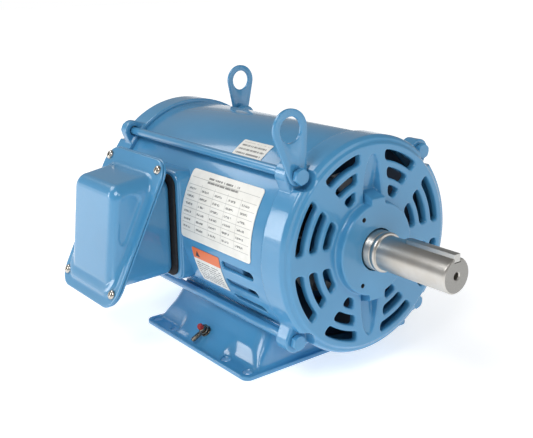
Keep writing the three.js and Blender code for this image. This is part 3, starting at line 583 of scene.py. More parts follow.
def connection_print(s, along, up, paper):
    left, right = 0.79 * INCH + 3, 2.7 * INCH - 3
    low, high = math.radians(48.7) * SHELL_R + 3, math.radians(60.8) * SHELL_R - 3
    room = inside(s, along, up, (left, right), (low, high))
    marks = s.maths("MULTIPLY", print_rows(s, along, up, 5.4, 0.4, 0.44, 0.6), room)
    return s.mix(s.maths("MULTIPLY", marks, 0.8), paper, INK)


NAMEPLATE = label("nameplate_film", nameplate_print)
CAUTION = label("caution_film", caution_print)
PLAIN_LABEL = label("connection_film", connection_print)

# ---------------------------------------------------------------------------------------------
# End brackets
# ---------------------------------------------------------------------------------------------

FACE_T = 8.0
HUB_R = 47.5
HUB_H = 9.0
VENT_ROWS = ((88.3, 98.2), (71.4, 81.3), (54.7, 64.4))
SPOKE_UPRIGHT = (17.0, 20.2, 22.2)
SPOKE_DIAGONAL = 11.1
SPOKE_LEVEL = 10.2
BOLT_OFFSET = 3.3 * INCH
CORNERS = {
    "upper_left": (-BOLT_OFFSET, AXIS_Z + BOLT_OFFSET),
    "upper_right": (BOLT_OFFSET, AXIS_Z + BOLT_OFFSET),
    "lower_left": (-BOLT_OFFSET, AXIS_Z - BOLT_OFFSET),
    "lower_right": (BOLT_OFFSET, AXIS_Z - BOLT_OFFSET),
}


def spoke_half_width(spoke, row):
    if spoke % 2:
        return SPOKE_DIAGONAL
    return SPOKE_LEVEL if spoke % 4 == 0 else SPOKE_UPRIGHT[row]


def vent_outline(row, spoke, grow):
    """One arc slot between two spokes, its ends parallel to them, with rounded corners."""
    r_in, r_out = VENT_ROWS[row]
    r_in, r_out = r_in - grow, r_out + grow
    start = spoke * math.pi / 4
    half_a = spoke_half_width(spoke, row) - grow
    half_b = spoke_half_width(spoke + 1, row) - grow
    corner = 3.3 + grow
    outline = []

    def put(r, angle):
        outline.append((r * math.cos(angle), AXIS_Z + r * math.sin(angle)))

    def side(r, at_start):
        if at_start:
            return start + math.asin(half_a / r)
        return start + math.pi / 4 - math.asin(half_b / r)

    def corner_points(r, outwards, at_start, flip):
        centre = r + corner if outwards < 0 else r - corner
        inset = corner / centre * (1 if at_start else -1)
        for k in range(5):
            q = math.radians(22.5 * (4 - k if flip else k))
            radial = centre + outwards * corner * math.sin(q)
            put(radial, side(radial, at_start) + inset * (1 - math.cos(q)))

    def run(r, from_start):
        a = side(r, True) + corner / r
        b = side(r, False) - corner / r
        if not from_start:
            a, b = b, a
        for k in range(1, 10):
            put(r, a + (b - a) * k / 10)

    corner_points(r_in, -1, True, False)
    run(r_in, True)
    corner_points(r_in, -1, False, True)
    corner_points(r_out, 1, False, False)
    run(r_out, False)
    corner_points(r_out, 1, True, True)
    return outline


def vent_cutters(face, inward):
    """All vents as cutters that flare where they meet the outer face."""
    steps = ((3.0, 2.0), (0.0, 1.4), (-0.5, 0.7), (-1.3, 0.2), (-2.4, 0.0), (-FACE_T - 3.0, 0.0))
    cutters = []
    for row in range(3):
        for spoke in range(8):
            rings = []
            for out, grow in steps:
                x = face - inward * out
                rings.append([(x, y, z) for y, z in vent_outline(row, spoke, grow)])
            cutters.append(loft("vent", rings))
    return joined("vents", cutters)


ACCESS_TIP_R = 95.0
ACCESS_HALF_W = 11.8
ACCESS_DEPTH = 10.0


def lancet(side, grow):
    """Pointed outline of the access recess on the upright spoke above or below the hub."""
    half = ACCESS_HALF_W + grow
    tip = ACCESS_TIP_R + grow
    right = [(half, 44), (half, 58), (half * 0.88, 72), (half * 0.62, 85), (half * 0.3, tip - 2.5), (0, tip)]
    outline = rounded(right + [(-y, r) for y, r in reversed(right[:-1])], 9.0, steps=4)
    return [(y * side, r) for y, r in outline]


def access_solid(side, face, inward, grow, lift, first):
    """The recess, or with grow the metal behind it; its floor falls towards the hub."""
    rings = []
    for out, wider in first:
        rings.append([(face - inward * out, y, AXIS_Z + side * r) for y, r in lancet(side, grow + wider)])
    floor = []
    for y, r in lancet(side, grow):
        along = min(1.0, (ACCESS_TIP_R + grow - r) / (ACCESS_TIP_R + grow - 55))
        depth = lift + (ACCESS_DEPTH - 1) * along
        floor.append((face + inward * depth, y * 0.82, AXIS_Z + side * r))
    rings.append(floor)
    return loft("access", rings)


def hub_block(side, face, inward):
    front, back, half = face - inward * HUB_H, face + inward * ACCESS_DEPTH, 9.0
    section = [(front, 20), (front, 52.6), (back, 58.5), (back, 20)]
    rings = [[(x, y, AXIS_Z + side * z) for x, z in section] for y in (-half, half)]
    return loft("hub_block", rings)


EAR_R = 12.0
SEAT_RUN_OUT = 2.0


def ear(y, z, x0, x1):
    """Lobe that carries a through bolt, wider where it meets the rim."""
    outward = math.degrees(math.atan2(z - AXIS_Z, y))
    lobe = arc((y, z), EAR_R, outward - 78, outward + 78, 20)
    foot = arc((0, AXIS_Z), 108, outward + 9.5, outward - 9.5, 6)
    return prism("ear", lobe + foot, x0, x1)


def bracket(name, face, inward, rim_r, shell_end, ear_back, seat, bore_r, housing, pockets, grain):
    """An end bracket: face is its flat outer face and inward the direction of the motor's middle.

    shell_end, ear_back and seat are where the rim, the lobes and the bolts' seats lie along X.
    housing is the bearing seat's mouth, radius and floor; pockets asks for the access recesses.
    """
    def at(depth):
        return face + inward * depth

    rim_profile = rounded([
        (104.3, at(0)), (106.6, at(2.5)), (109.8, at(2.9)), (rim_r, at(6.2)), (rim_r, shell_end),
        (106.4, shell_end), (106.4, shell_end + inward * 9), (103, shell_end + inward * 9),
        (103, at(FACE_T + 2)), (99, at(FACE_T)), (99, at(0)),
    ], [1.2, 1.5, 1.5, 2.5, 0.6, 0, 0.5, 0.5, 2, 0, 0])
    rim = lathe("rim", rim_profile, segments=180)
    plate = lathe("plate", [(0, at(0)), (101, at(0)), (101, at(FACE_T)), (0, at(FACE_T))], segments=120)
    hub_profile = [
        (0, at(-HUB_H)), (HUB_R, at(-HUB_H)), (HUB_R + 0.8, at(0)), (HUB_R + 0.8, housing[0]),
        (0, housing[0]),
    ]
    hub = lathe("hub", rounded(hub_profile, [0, 1.3, 0, 0.5, 0]), segments=120)
    stepped = [(0, at(-6)), (13.2, at(-6)), (13.2, seat), (5.6, seat), (5.6, ear_back + inward * 40),
               (0, ear_back + inward * 40)]
    scallops = joined("scallops", [lathe("scallop", stepped, place, 72) for place in CORNERS.values()])
    boolean(plate, vent_cutters(face, inward))
    solids = [rim, plate]
    for y, z in CORNERS.values():
        solids.append(ear(y, z, *sorted((ear_back, seat))))
    if pockets:
        for side in (1, -1):
            solids.append(access_solid(side, face, inward, 4.0, FACE_T - 1, ((-3, 0),)))
    for solid in solids:
        boolean(solid, scallops, keep_tool=True)
    bpy.data.objects.remove(scallops)
    if pockets:
        mouth = ((3.0, 1.6), (-0.1, 1.1), (-0.8, 0.3), (-1.5, 0.0))
        hollow = joined("hollow", [access_solid(side, face, inward, 0.0, 1.6, mouth) for side in (1, -1)])
        for solid in solids:
            boolean(solid, hollow, keep_tool=True)
        bpy.data.objects.remove(hollow)
        solids.extend(hub_block(side, face, inward) for side in (1, -1))
    solids.append(hub)
    body = joined(name, solids)
    cast_skin(body, grain, 4)
    # The cut runs past the lower end of the seat along X. That is its mouth at the drive end, but its
    # floor at the rear, where the cut therefore stops flush with the hub.
    seat_r, seat_x = housing[1], sorted((housing[0], housing[2]))
    boolean(body, bar("housing", seat_r, seat_x[0] - SEAT_RUN_OUT, seat_x[1], 0, AXIS_Z, 96))
    if bore_r:
        boolean(body, bar("bore", bore_r, *sorted((at(-HUB_H - 4), at(60))), 0, AXIS_Z, 96))
    return body


CAP_SCREW_CIRCLE_R = 39.0
CAP_SCREW_HOLE_R = 2.4


def build_drive_bracket():
    low, high = span("drive_end_bracket")
    face = high.x - HUB_H
    race_low, race_high = span("drive_bearing_outer_race")
    body = bracket(
        "drive_bracket_casting", face, -1, (high.y - low.y) / 2, 120.0, 121.0, 138.2, 22.0,
        (race_low.x + 0.3, 40.3, race_high.x + 0.3), True, 0.8)
    places = []
    for turn in (0, 2 * math.pi / 3, 4 * math.pi / 3):
        y = CAP_SCREW_CIRCLE_R * math.cos(turn)
        z = AXIS_Z + CAP_SCREW_CIRCLE_R * math.sin(turn)
        places.append(Vector((y, z)))
    holes = [bar("cap_screw_hole", CAP_SCREW_HOLE_R, high.x - 12, high.x + 2, y, z, 32) for y, z in places]
    boolean(body, joined("cap_screw_holes", holes))
    finish(smooth_shaded(body, 40), [BLUE, RAW_IRON], STATOR, "blue_paint", "drive_end_bracket")
    # Faces inside the cap screw holes take the dark bare iron: partly the holes' unpainted threads, partly
    # painted shade deep in the holes.
    for face in body.data.polygons:
        x, y, z = face.center / MM
        near_hole = any((Vector((y, z)) - place).length < CAP_SCREW_HOLE_R + 0.1 for place in places)
        face.material_index = 1 if near_hole and high.x - 12.5 < x < high.x - 0.3 else 0


def build_rear_bracket():
    low, high = span("rear_bracket")
    race_low, race_high = span("rear_bearing_outer_race")
    body = bracket(
        "rear_bracket_casting", low.x + HUB_H, 1, (high.y - low.y) / 2, -160.0, -163.0, -175.0, 0,
        (race_high.x - 0.3, 36.3, race_low.x - 0.3), False, 1.1)
    painted(body, 40, "rear_bracket")


# ---------------------------------------------------------------------------------------------
# Shell and foot base
# ---------------------------------------------------------------------------------------------

BORE_R = 106.8
BOX_X = -3.05 * INCH
LEAD_HOLE_R = 22.0
LOUVRE_ANGLES = (-12, -23, -34, -45)
LOUVRE_ENDS = (1.84 * INCH, 3.97 * INCH)
LOUVRE_H = 8.4


def rounded_rectangle(half, low, high, radius, steps=8):
    """Outline centred on zero across, between two heights, counter-clockwise."""
    corners = [(half, low), (half, high), (-half, high), (-half, low)]
    return rounded(corners, radius, steps=steps)


def slot_outline(x0, x1, height, grow):
    """Round-ended slot in (x, height)."""
    r = height / 2
    right = arc((x1 - r, 0), r + grow, -90, 90, 12)
    left = arc((x0 + r, 0), r + grow, 90, 270, 12)
    return right + left


def louvre_cutter(angle_degrees, side):
    """Slot cut square to the shell, its edge rolled where the punch went in."""
    angle = math.radians(angle_degrees)
    outward = (side * math.cos(angle), math.sin(angle))
    along = (-side * math.sin(angle), math.cos(angle))
    rings = []
    for lift, grow in ((-9, 0), (-1.3, 0), (-0.8, 0.12), (-0.35, 0.45), (0.0, 1.0), (0.6, 2.0)):
        r = SHELL_R + lift
        rings.append([
            (x, r * outward[0] + v * along[0], AXIS_Z + r * outward[1] + v * along[1])
            for x, v in slot_outline(*LOUVRE_ENDS, LOUVRE_H, grow)
        ])
    return loft("louvre", rings)


def bar_y(name, radius, y0, y1, x, z):
    """A round bar along Y."""
    circle = arc((x, z), radius, 0, 360, 64)[:-1]
    return loft(name, [[(px, y, pz) for px, pz in circle] for y in (y0, y1)])


def build_shell():
    low, high = span("frame_shell")
    x0, x1, pad_y = low.x, high.x, low.y
    shell = tube("tube", BORE_R, SHELL_R, x0, x1, 0.6, 3, 240)
    pad = rounded_rectangle(2.1 * INCH, 2.85 * INCH, 7.6 * INCH, 12)
    rounding = ((-70, -1), (pad_y + 3.6, -1), (pad_y + 2.6, 0), (pad_y + 1.2, 0), (pad_y + 0.3, 0.5),
                (pad_y, 1.4))
    rings = []
    for y, inset in rounding:
        across, upright = 1 - inset / 53, 1 - inset / 60
        rings.append([(BOX_X + u * across, y, AXIS_Z + (z - AXIS_Z) * upright) for u, z in pad])
    block = loft("pad", rings)
    boolean(block, bar("bore", BORE_R, x0 - 5, x1 + 5, 0, AXIS_Z, 240))
    boolean(shell, block, "UNION")
    boolean(shell, bar_y("lead_hole", LEAD_HOLE_R, -125, -80, BOX_X, AXIS_Z))
    louvres = [louvre_cutter(angle, side) for angle in LOUVRE_ANGLES for side in (-1, 1)]
    boolean(shell, joined("louvres", louvres))
    painted(shell, 32, "frame_shell")
    shell.name = "shell"


BASE_T = 5.0
FOOT_HOLE_R = 0.203 * INCH
FOOT_HOLE_Y = 4.25 * INCH
FOOT_HOLE_XS = (2.0 * INCH, 3.5 * INCH)
SKIRT_LEVELS = (  # half length, half width and height of the flared skirt
    (97, 115, 5), (94, 107, 8.5), (91.5, 98.2, 16.4), (89, 90, 25), (87, 84, 34), (85, 79, 43),
    (83.5, 75, 53), (83, 72.5, 62),
)


def skirt(name, inset):
    rings = []
    for level, (half_x, half_y, z) in enumerate(SKIRT_LEVELS):
        height = BASE_T - 1 - inset * 2 if level == 0 else z - inset * 0.8
        outline = rounded_rectangle(half_x - inset, inset - half_y, half_y - inset, 15 - inset, 6)
        rings.append([(x, y, height) for x, y in outline])
    return loft(name, rings)


PAD_WALL_Y = 99.5  # where the skirt rises from the pads


def skirt_end(z):
    """Half length of the skirt at a height."""
    levels = [(height, half_x) for half_x, _, height in SKIRT_LEVELS]
    for (z0, x0), (z1, x1) in zip(levels, levels[1:]):
        if z <= z1:
            return x0 + (x1 - x0) * max(0, z - z0) / (z1 - z0)
    return levels[-1][1]


def pad_room(sx, sy):
    """Room over the flat pad at one corner.

    Its inner wall rises from the pad in a cove, runs out into the skirt, and turns round the
    skirt's end in a soft corner.
    """
    cove = [(BASE_T, -3.5), (BASE_T + 0.5, -2.0), (BASE_T + 1.8, -0.3), (BASE_T + 4.5, 1.6), (14, 3.6),
            (20, 6.2), (27, 9.4)]
    rings = []
    for z, lift in cove:
        wall = PAD_WALL_Y - lift
        end = skirt_end(z) + 0.2
        ring = [(34, 135), (110, 135), (110, wall - 12), (end, wall - 12), (end, wall), (46 - lift, wall)]
        rings.append([(sx * x, sy * y, z) for x, y in rounded(ring, [0, 0, 0, 0, 10, 12])])
    return loft("pad", rings)


def pad_back(sx, sy):
    """Room under the sheet that carries one pad."""
    rings = []
    for z, lift in ((-BASE_T, 0), (BASE_T, 0.6), (27, 9.4)):
        wall = PAD_WALL_Y - BASE_T - lift
        side = 48 - BASE_T - lift
        ring = [(30, 135), (110, 135), (110, wall), (side, wall), (side - 6, wall + 4)]
        rings.append([(sx * x, sy * y, z) for x, y in rounded(ring, [0, 0, 0, 9, 5])])
    return loft("back", rings)


def above_the_pads(place):
    """Zero on the flat plate, rising to one a few millimetres above it."""
    return min(1, max(0, (place.z - BASE_T - 1) / 4))


def build_base():
    low, high = span("base_saddle")
    outline = rounded_rectangle(high.x, low.y, high.y, 9, 6)
    plate = loft("plate", [[(x, y, 0) for x, y in outline], [(x, y, BASE_T) for x, y in outline]])
    cover = skirt("cover", 0)
    hollow = skirt("hollow", 5)
    quarters = [(sx, sy) for sx in (-1, 1) for sy in (-1, 1)]
    boolean(hollow, joined("backs", [pad_back(sx, sy) for sx, sy in quarters]))
    boolean(plate, cover, "UNION")
    boolean(plate, joined("pads", [pad_room(sx, sy) for sx, sy in quarters]))
    boolean(plate, hollow)
    cast_skin(plate, 1.0, 14)
    soften_region(plate, above_the_pads, 4.0, 1.0)
    boolean(plate, bar("shell_seat", SHELL_R + 0.3, -180, 140, 0, AXIS_Z, 240))
    drills = []
    for sx, sy in quarters:
        for x in FOOT_HOLE_XS:
            rings = []
            for z, grow in ((-5, 0.8), (0.3, 0), (BASE_T - 0.6, 0), (BASE_T + 0.2, 0.7), (40, 0.9)):
                circle = arc((sx * x, sy * FOOT_HOLE_Y), FOOT_HOLE_R + grow, 0, 360, 32)[:-1]
                rings.append([(px, py, z) for px, py in circle])
            drills.append(loft("drill", rings))
    boolean(plate, joined("drills", drills))
    plate.name = "base"
    painted(plate, 40, "base_saddle")


# ---------------------------------------------------------------------------------------------
# Bolts, nuts and lifting lugs
# ---------------------------------------------------------------------------------------------

HEX_ACROSS = 14.3
HEAD_H = 6.1
ROD_R = 4.76
THREAD_PITCH = 1.6
ROD_HOLE_R = 5.6
LUG_EYE_H = 44.5
LUG_EYE_R = 19.5
LUG_HOLE_R = 12.3
LUG_FOOT_R = 10.0


def soften_edges(piece, width, segments=3, angle=30):
    step = piece.modifiers.new("edges", "BEVEL")
    step.width = width * MM
    step.segments = segments
    step.limit_method = "ANGLE"
    step.angle_limit = math.radians(angle)
    return bake_modifiers(piece)


def hexagon(name, across, x0, x1, y, z, turn, chamfers):
    """Hex bar along X, domed at the ends named in chamfers, -1 for x0 and 1 for x1."""
    corner = across / math.sqrt(3)
    angles = [turn + i * math.pi / 3 for i in range(6)]
    outline = [(y + corner * math.cos(a), z + corner * math.sin(a)) for a in angles]
    body = prism(name, outline, x0, x1)
    flat = across / 2
    start = [(0, x0), (corner + 1, x0)]
    if -1 in chamfers:
        start = [(0, x0), (flat - 0.2, x0), (corner + 0.2, x0 + 0.8)]
    end = [(corner + 1, x1), (0, x1)]
    if 1 in chamfers:
        end = [(corner + 0.2, x1 - 0.8), (flat - 0.2, x1), (0, x1)]
    boolean(body, lathe("dome", start + end, (y, z), 72), "INTERSECT")
    return soften_edges(body, 0.15, 2, 25)


def threaded(x0, x1):
    """Profile points of the rod's thread between two stations, as roots and crests."""
    points = []
    for i in range(int((x1 - x0) / THREAD_PITCH)):
        x = x0 + i * THREAD_PITCH
        for depth, share in ((0.5, 0.1), (0, 0.5), (0.5, 0.9)):
            points.append((ROD_R - depth, x + THREAD_PITCH * share))
    return points


def build_through_bolts():
    for corner, (y, z) in CORNERS.items():
        low, high = span(f"through_bolt_{corner}")
        nut_low, nut_high = span(f"through_nut_{corner}")
        head_low = high.x - HEAD_H
        head = hexagon("head", HEX_ACROSS, head_low + 0.5, high.x, y, z, 0.35, (1,))
        face = [(0, head_low), (6.9, head_low), (6.9, head_low + 0.8), (0, head_low + 0.8)]
        washer = lathe("washer_face", rounded(face, [0, 0.15, 0, 0]), (y, z), 64)
        rod_profile = [(0, low.x), (ROD_R - 1.0, low.x), (ROD_R - 0.5, low.x + 0.5)]
        rod_profile += threaded(low.x + 0.6, nut_high.x + 1.0)
        rod_profile += [(ROD_R, nut_high.x + 2.6), (ROD_R, head_low + 0.6), (0, head_low + 0.6)]
        rod = lathe("rod", rod_profile, (y, z), 40)
        bolt = joined(f"bolt_{corner}", [head, washer, rod])
        painted(bolt, 28, f"through_bolt_{corner}")
        nut = hexagon(f"nut_{corner}", HEX_ACROSS, nut_low.x, nut_high.x, y, z, 0.1, (-1, 1))
        bore = [
            (0, nut_low.x - 2), (6.2, nut_low.x - 2), (6.2, nut_low.x), (5.06, nut_low.x + 1.1),
            (5.06, nut_high.x - 1.1), (6.2, nut_high.x), (6.2, nut_high.x + 2), (0, nut_high.x + 2),
        ]
        boolean(nut, lathe("nut_bore", bore, (y, z), 48))
        painted(nut, 28, f"through_nut_{corner}")


def lug_outline(y, z, lean, inset):
    """Eye above, bolt below, their arcs joined by straight edges."""
    eye = (y - math.sin(lean) * LUG_EYE_H, z + math.cos(lean) * LUG_EYE_H)
    tilt = math.degrees(lean)
    head = arc(eye, LUG_EYE_R - inset, -12 + tilt, 192 + tilt, 48)
    foot = arc((y, z), LUG_FOOT_R - inset, 200 + tilt, 340 + tilt, 24)
    return eye, head + foot


def build_lug(node, corner, lean):
    low, high = span(node)
    y, z = CORNERS[corner]
    rolled = ((low.x, 0.8), (low.x + 0.25, 0.25), (low.x + 0.8, 0), (high.x - 0.8, 0),
              (high.x - 0.25, 0.25), (high.x, 0.8))
    rings = []
    for x, inset in rolled:
        eye, outline = lug_outline(y, z, lean, inset)
        rings.append([(x, py, pz) for py, pz in outline])
    lug = loft(node + "_plate", rings)
    for centre, radius, relief in ((eye, LUG_HOLE_R, 0.7), ((y, z), ROD_HOLE_R, 0.2)):
        wide = radius + relief
        between = radius + relief * 0.3
        hole = [
            (0, low.x - 1), (wide, low.x - 1), (wide, low.x), (between, low.x + relief * 0.4),
            (radius, low.x + relief), (radius, high.x - relief), (between, high.x - relief * 0.4),
            (wide, high.x), (wide, high.x + 1), (0, high.x + 1),
        ]
        boolean(lug, lathe("hole", hole, centre, 72))
    painted(lug, 35, node)


# ---------------------------------------------------------------------------------------------
# Conduit box
# ---------------------------------------------------------------------------------------------

FLANGE_TOP = (-5.3 * INCH, 7.9 * INCH)  # distance from the shaft's plane, height
FLANGE_SLOPE = 0.505
FLANGE_T = 3.1
FLANGE_LOW = 2.44 * INCH
FLANGE_HIGH = 8.28 * INCH
SHEET = 2.2
COVER_FACE_TOP = (-7.26 * INCH, 7.45 * INCH)
COVER_FACE_BOTTOM = (-7.78 * INCH, 2.9 * INCH)
SCREW_PLACES = {
    "top_rear": (-52, 7.9 * INCH), "top_front": (52, 7.9 * INCH),
    "bottom_rear": (-52, 3.04 * INCH), "bottom_front": (52, 3.04 * INCH),
}
FLANGE_NORMAL = Vector((0, -1, FLANGE_SLOPE)).normalized()
SCREW_HOLE_R = 2.9


def flange_y(z, back=0.0):
    return FLANGE_TOP[0] - (FLANGE_TOP[1] - z) * FLANGE_SLOPE + back


def cover_face_y(z):
    t = (z - COVER_FACE_BOTTOM[1]) / (COVER_FACE_TOP[1] - COVER_FACE_BOTTOM[1])
    return COVER_FACE_BOTTOM[0] + (COVER_FACE_TOP[0] - COVER_FACE_BOTTOM[0]) * t


def box_outline(t, inset):
    """Outline of the cover's wall, t running from 0 at the flange to 1 at the face."""
    half = (2.02 - 0.12 * t) * INCH - inset
    low = (2.95 + 0.07 * t) * INCH + inset
    high = (7.62 - 0.18 * t) * INCH - inset
    return rounded_rectangle(half, low, high, max(4.0, 17 - 2 * t - inset))


def cover_ring(t, inset, short, base=0.6):
    """Points of one ring: short is how far it stops below the face."""
    ring = []
    for u, z in box_outline(t, inset):
        near = flange_y(z) - base
        far = min(cover_face_y(z) + short, near)
        ring.append((BOX_X + u, near + (far - near) * t, z))
    return ring


def cover_solid(name, wall, edge_r):
    """The drawn body of the cover, or with a wall thickness the room inside it."""
    rings = []
    root = -6.0 if wall else -1.5
    rings.append([(BOX_X + u, flange_y(z) - root, z) for u, z in box_outline(0, wall)])
    if not wall:
        for out, flare in ((-0.2, 3.6), (0.5, 2.0), (1.5, 0.8), (2.6, 0.0)):
            rings.append([(BOX_X + u, flange_y(z) - out, z) for u, z in box_outline(0, -flare)])
    rings += [cover_ring(t, wall, edge_r + wall, 2.6) for t in (0.3, 0.6, 0.85)]
    for k in range(7):
        turn = math.radians(15 * k)
        inset = wall + edge_r * (1 - math.cos(turn))
        short = wall + edge_r * (1 - math.sin(turn))
        rings.append(cover_ring(1, inset, short, 2.7 + 0.1 * k))
    return loft(name, rings)


def flange_solid(name, back0, back1):
    outline = rounded_rectangle(2.47 * INCH, FLANGE_LOW, FLANGE_HIGH, 20)
    middle = (FLANGE_LOW + FLANGE_HIGH) / 2
    rolled = ((back0, 0.9), (back0 + 0.3, 0.3), (back0 + 1.0, 0), (back1 - 0.9, 0), (back1 - 0.2, 0.4),
              (back1, 0.9))
    rings = []
    for back, inset in rolled:
        ring = []
        for u, z in outline:
            shrunk = middle + (z - middle) * (1 - inset / 71.9)
            ring.append((BOX_X + u * (1 - inset / 62.7), flange_y(shrunk, back), shrunk))
        rings.append(ring)
    return loft(name, rings)


def spun(name, profile, place, direction, segments=48):
    """A lathe turned to stand at a place along a direction; the profile is (radius, height)."""
    made = lathe(name, profile, (0.0, 0.0), segments)
    turn = Vector((1, 0, 0)).rotation_difference(Vector(direction)).to_matrix().to_4x4()
    turn.translation = Vector(place) * MM
    made.data.transform(turn)
    return made


def screw_drill():
    """Cutters for the four screw holes in both flanges."""
    bit = [(0, 0), (SCREW_HOLE_R, 0), (SCREW_HOLE_R, 60), (0, 60)]
    cutters = []
    for u, z in SCREW_PLACES.values():
        place = Vector((BOX_X + u, flange_y(z), z)) - FLANGE_NORMAL * 30
        cutters.append(spun("drill", bit, place, FLANGE_NORMAL, 32))
    return joined("screw_drill", cutters)


def side_panel_cutter():
    """Room over the shallow three-cornered panel pressed into the cover's drive-end side."""
    corners = [(-178.5, 179.0), (-152.5, 179.0), (-185.0, 112.0)]
    rings = []
    for lift, grow in ((-1.6, -1.6), (-1.4, 0.2), (-0.8, 1.6), (0.2, 2.8), (1.4, 4.2)):
        middle = Vector((-171.0, 160.0))
        outline = []
        for corner in corners:
            offset = Vector(corner) - middle
            outline.append(tuple(middle + offset * (1 + grow / offset.length)))
        ring = []
        for y, z in rounded(outline, [11, 8, 4], steps=8):
            depth = (flange_y(z) - y) / max(1.0, flange_y(z) - cover_face_y(z))
            ring.append((BOX_X + (2.02 - 0.12 * min(1.0, depth)) * INCH + lift, y, z))
        rings.append(ring)
    return loft("panel", rings)


def build_cover():
    body = cover_solid("cover_shell", 0, 12.0)
    boolean(body, side_panel_cutter())
    body = joined("cover", [body, flange_solid("cover_flange", 0, FLANGE_T)])
    cast_skin(body, 0.8, 8)
    boolean(body, cover_solid("cover_room", SHEET, 10.0))
    boolean(body, screw_drill())
    painted(body, 40, "conduit_box_cover")


def base_wall(name, wall):
    mouth = rounded_rectangle(1.95 * INCH - wall, 2.98 * INCH + wall, 7.55 * INCH - wall, 17 - wall)
    back_y = span("conduit_box_base")[1].y - wall
    rings = [[(BOX_X + u, flange_y(z, FLANGE_T + 1 - (4 if wall else 0)), z) for u, z in mouth]]
    for along, inset in ((0.0, 0.0), (4.0, 0.15), (7.0, 1.0), (8.6, 2.8), (9.2, 5.0)):
        ring = []
        half, low, high = 1.72 * INCH - wall - inset, 3.02 * INCH + wall + inset, 7.4 * INCH - wall - inset
        for u, z in rounded_rectangle(half, low, high, max(3.0, 14 - wall - inset)):
            ring.append((BOX_X + u, back_y - 9.2 + along, z))
        rings.append(ring)
    return loft(name, rings)


def build_box_base():
    body = joined("box_base", [
        base_wall("walls", 0), flange_solid("base_flange", FLANGE_T + 0.3, 2 * FLANGE_T + 0.3)])
    cast_skin(body, 1.0, 6)
    boolean(body, base_wall("room", SHEET))
    boolean(body, bar_y("lead_hole", LEAD_HOLE_R, -140, -100, BOX_X, AXIS_Z))
    boolean(body, screw_drill())
    painted(body, 40, "conduit_box_base")


def build_gasket():
    low, high = span("conduit_box_gasket")
    rings = []
    for y, inset in ((low.y, 0.5), (low.y + 0.5, 0), (high.y - 0.5, 0), (high.y, 0.5)):
        outline = rounded_rectangle(1.95 * INCH - inset, low.z + inset, high.z - inset, 12 - inset)
        rings.append([(BOX_X + u, y, z) for u, z in outline])
    sheet = loft("gasket", rings)
    boolean(sheet, bar_y("lead_hole", LEAD_HOLE_R, -125, -100, BOX_X, AXIS_Z))
    finish(smooth_shaded(sheet, 40), GASKET, STATOR, "gasket_rubber", "conduit_box_gasket")


def build_box_screws():
    profile = [(0, -9), (2.0, -9), (2.5, -8.5), (2.5, 0.3), (5.0, 0.3), (5.15, 0.5), (5.1, 1.2), (4.7, 2.1),
               (3.8, 2.8), (2.4, 3.2), (0, 3.3)]
    for name, (u, z) in SCREW_PLACES.items():
        place = Vector((BOX_X + u, flange_y(z), z))
        screw = spun(f"box_screw_{name}", profile, place, FLANGE_NORMAL, 48)
        side = FLANGE_NORMAL.orthogonal().normalized()
        for turn in (20, 110):
            arm = Matrix.Rotation(math.radians(turn), 3, FLANGE_NORMAL) @ side
            across = FLANGE_NORMAL.cross(arm)
            rings = []
            for height, half in ((1.2, 0.32), (4.5, 0.5)):
                middle = place + FLANGE_NORMAL * height
                reach = 1.3 + 0.45 * height
                rings.append([middle + arm * (reach * a) + across * (half * b)
                              for a, b in ((1, 1), (-1, 1), (-1, -1), (1, -1))])
            boolean(screw, loft("recess", rings))
        finish(smooth_shaded(screw, 35), ZINC, STATOR, "zinc_screw", f"conduit_box_screw_{name}")


# ---------------------------------------------------------------------------------------------
# Shaft and rotor
# ---------------------------------------------------------------------------------------------

SHAFT_R = 1.375 / 2 * INCH
SHOULDER_X = 7.0 * INCH
COLLAR_R = 20.4
KEY = 0.3125 * INCH


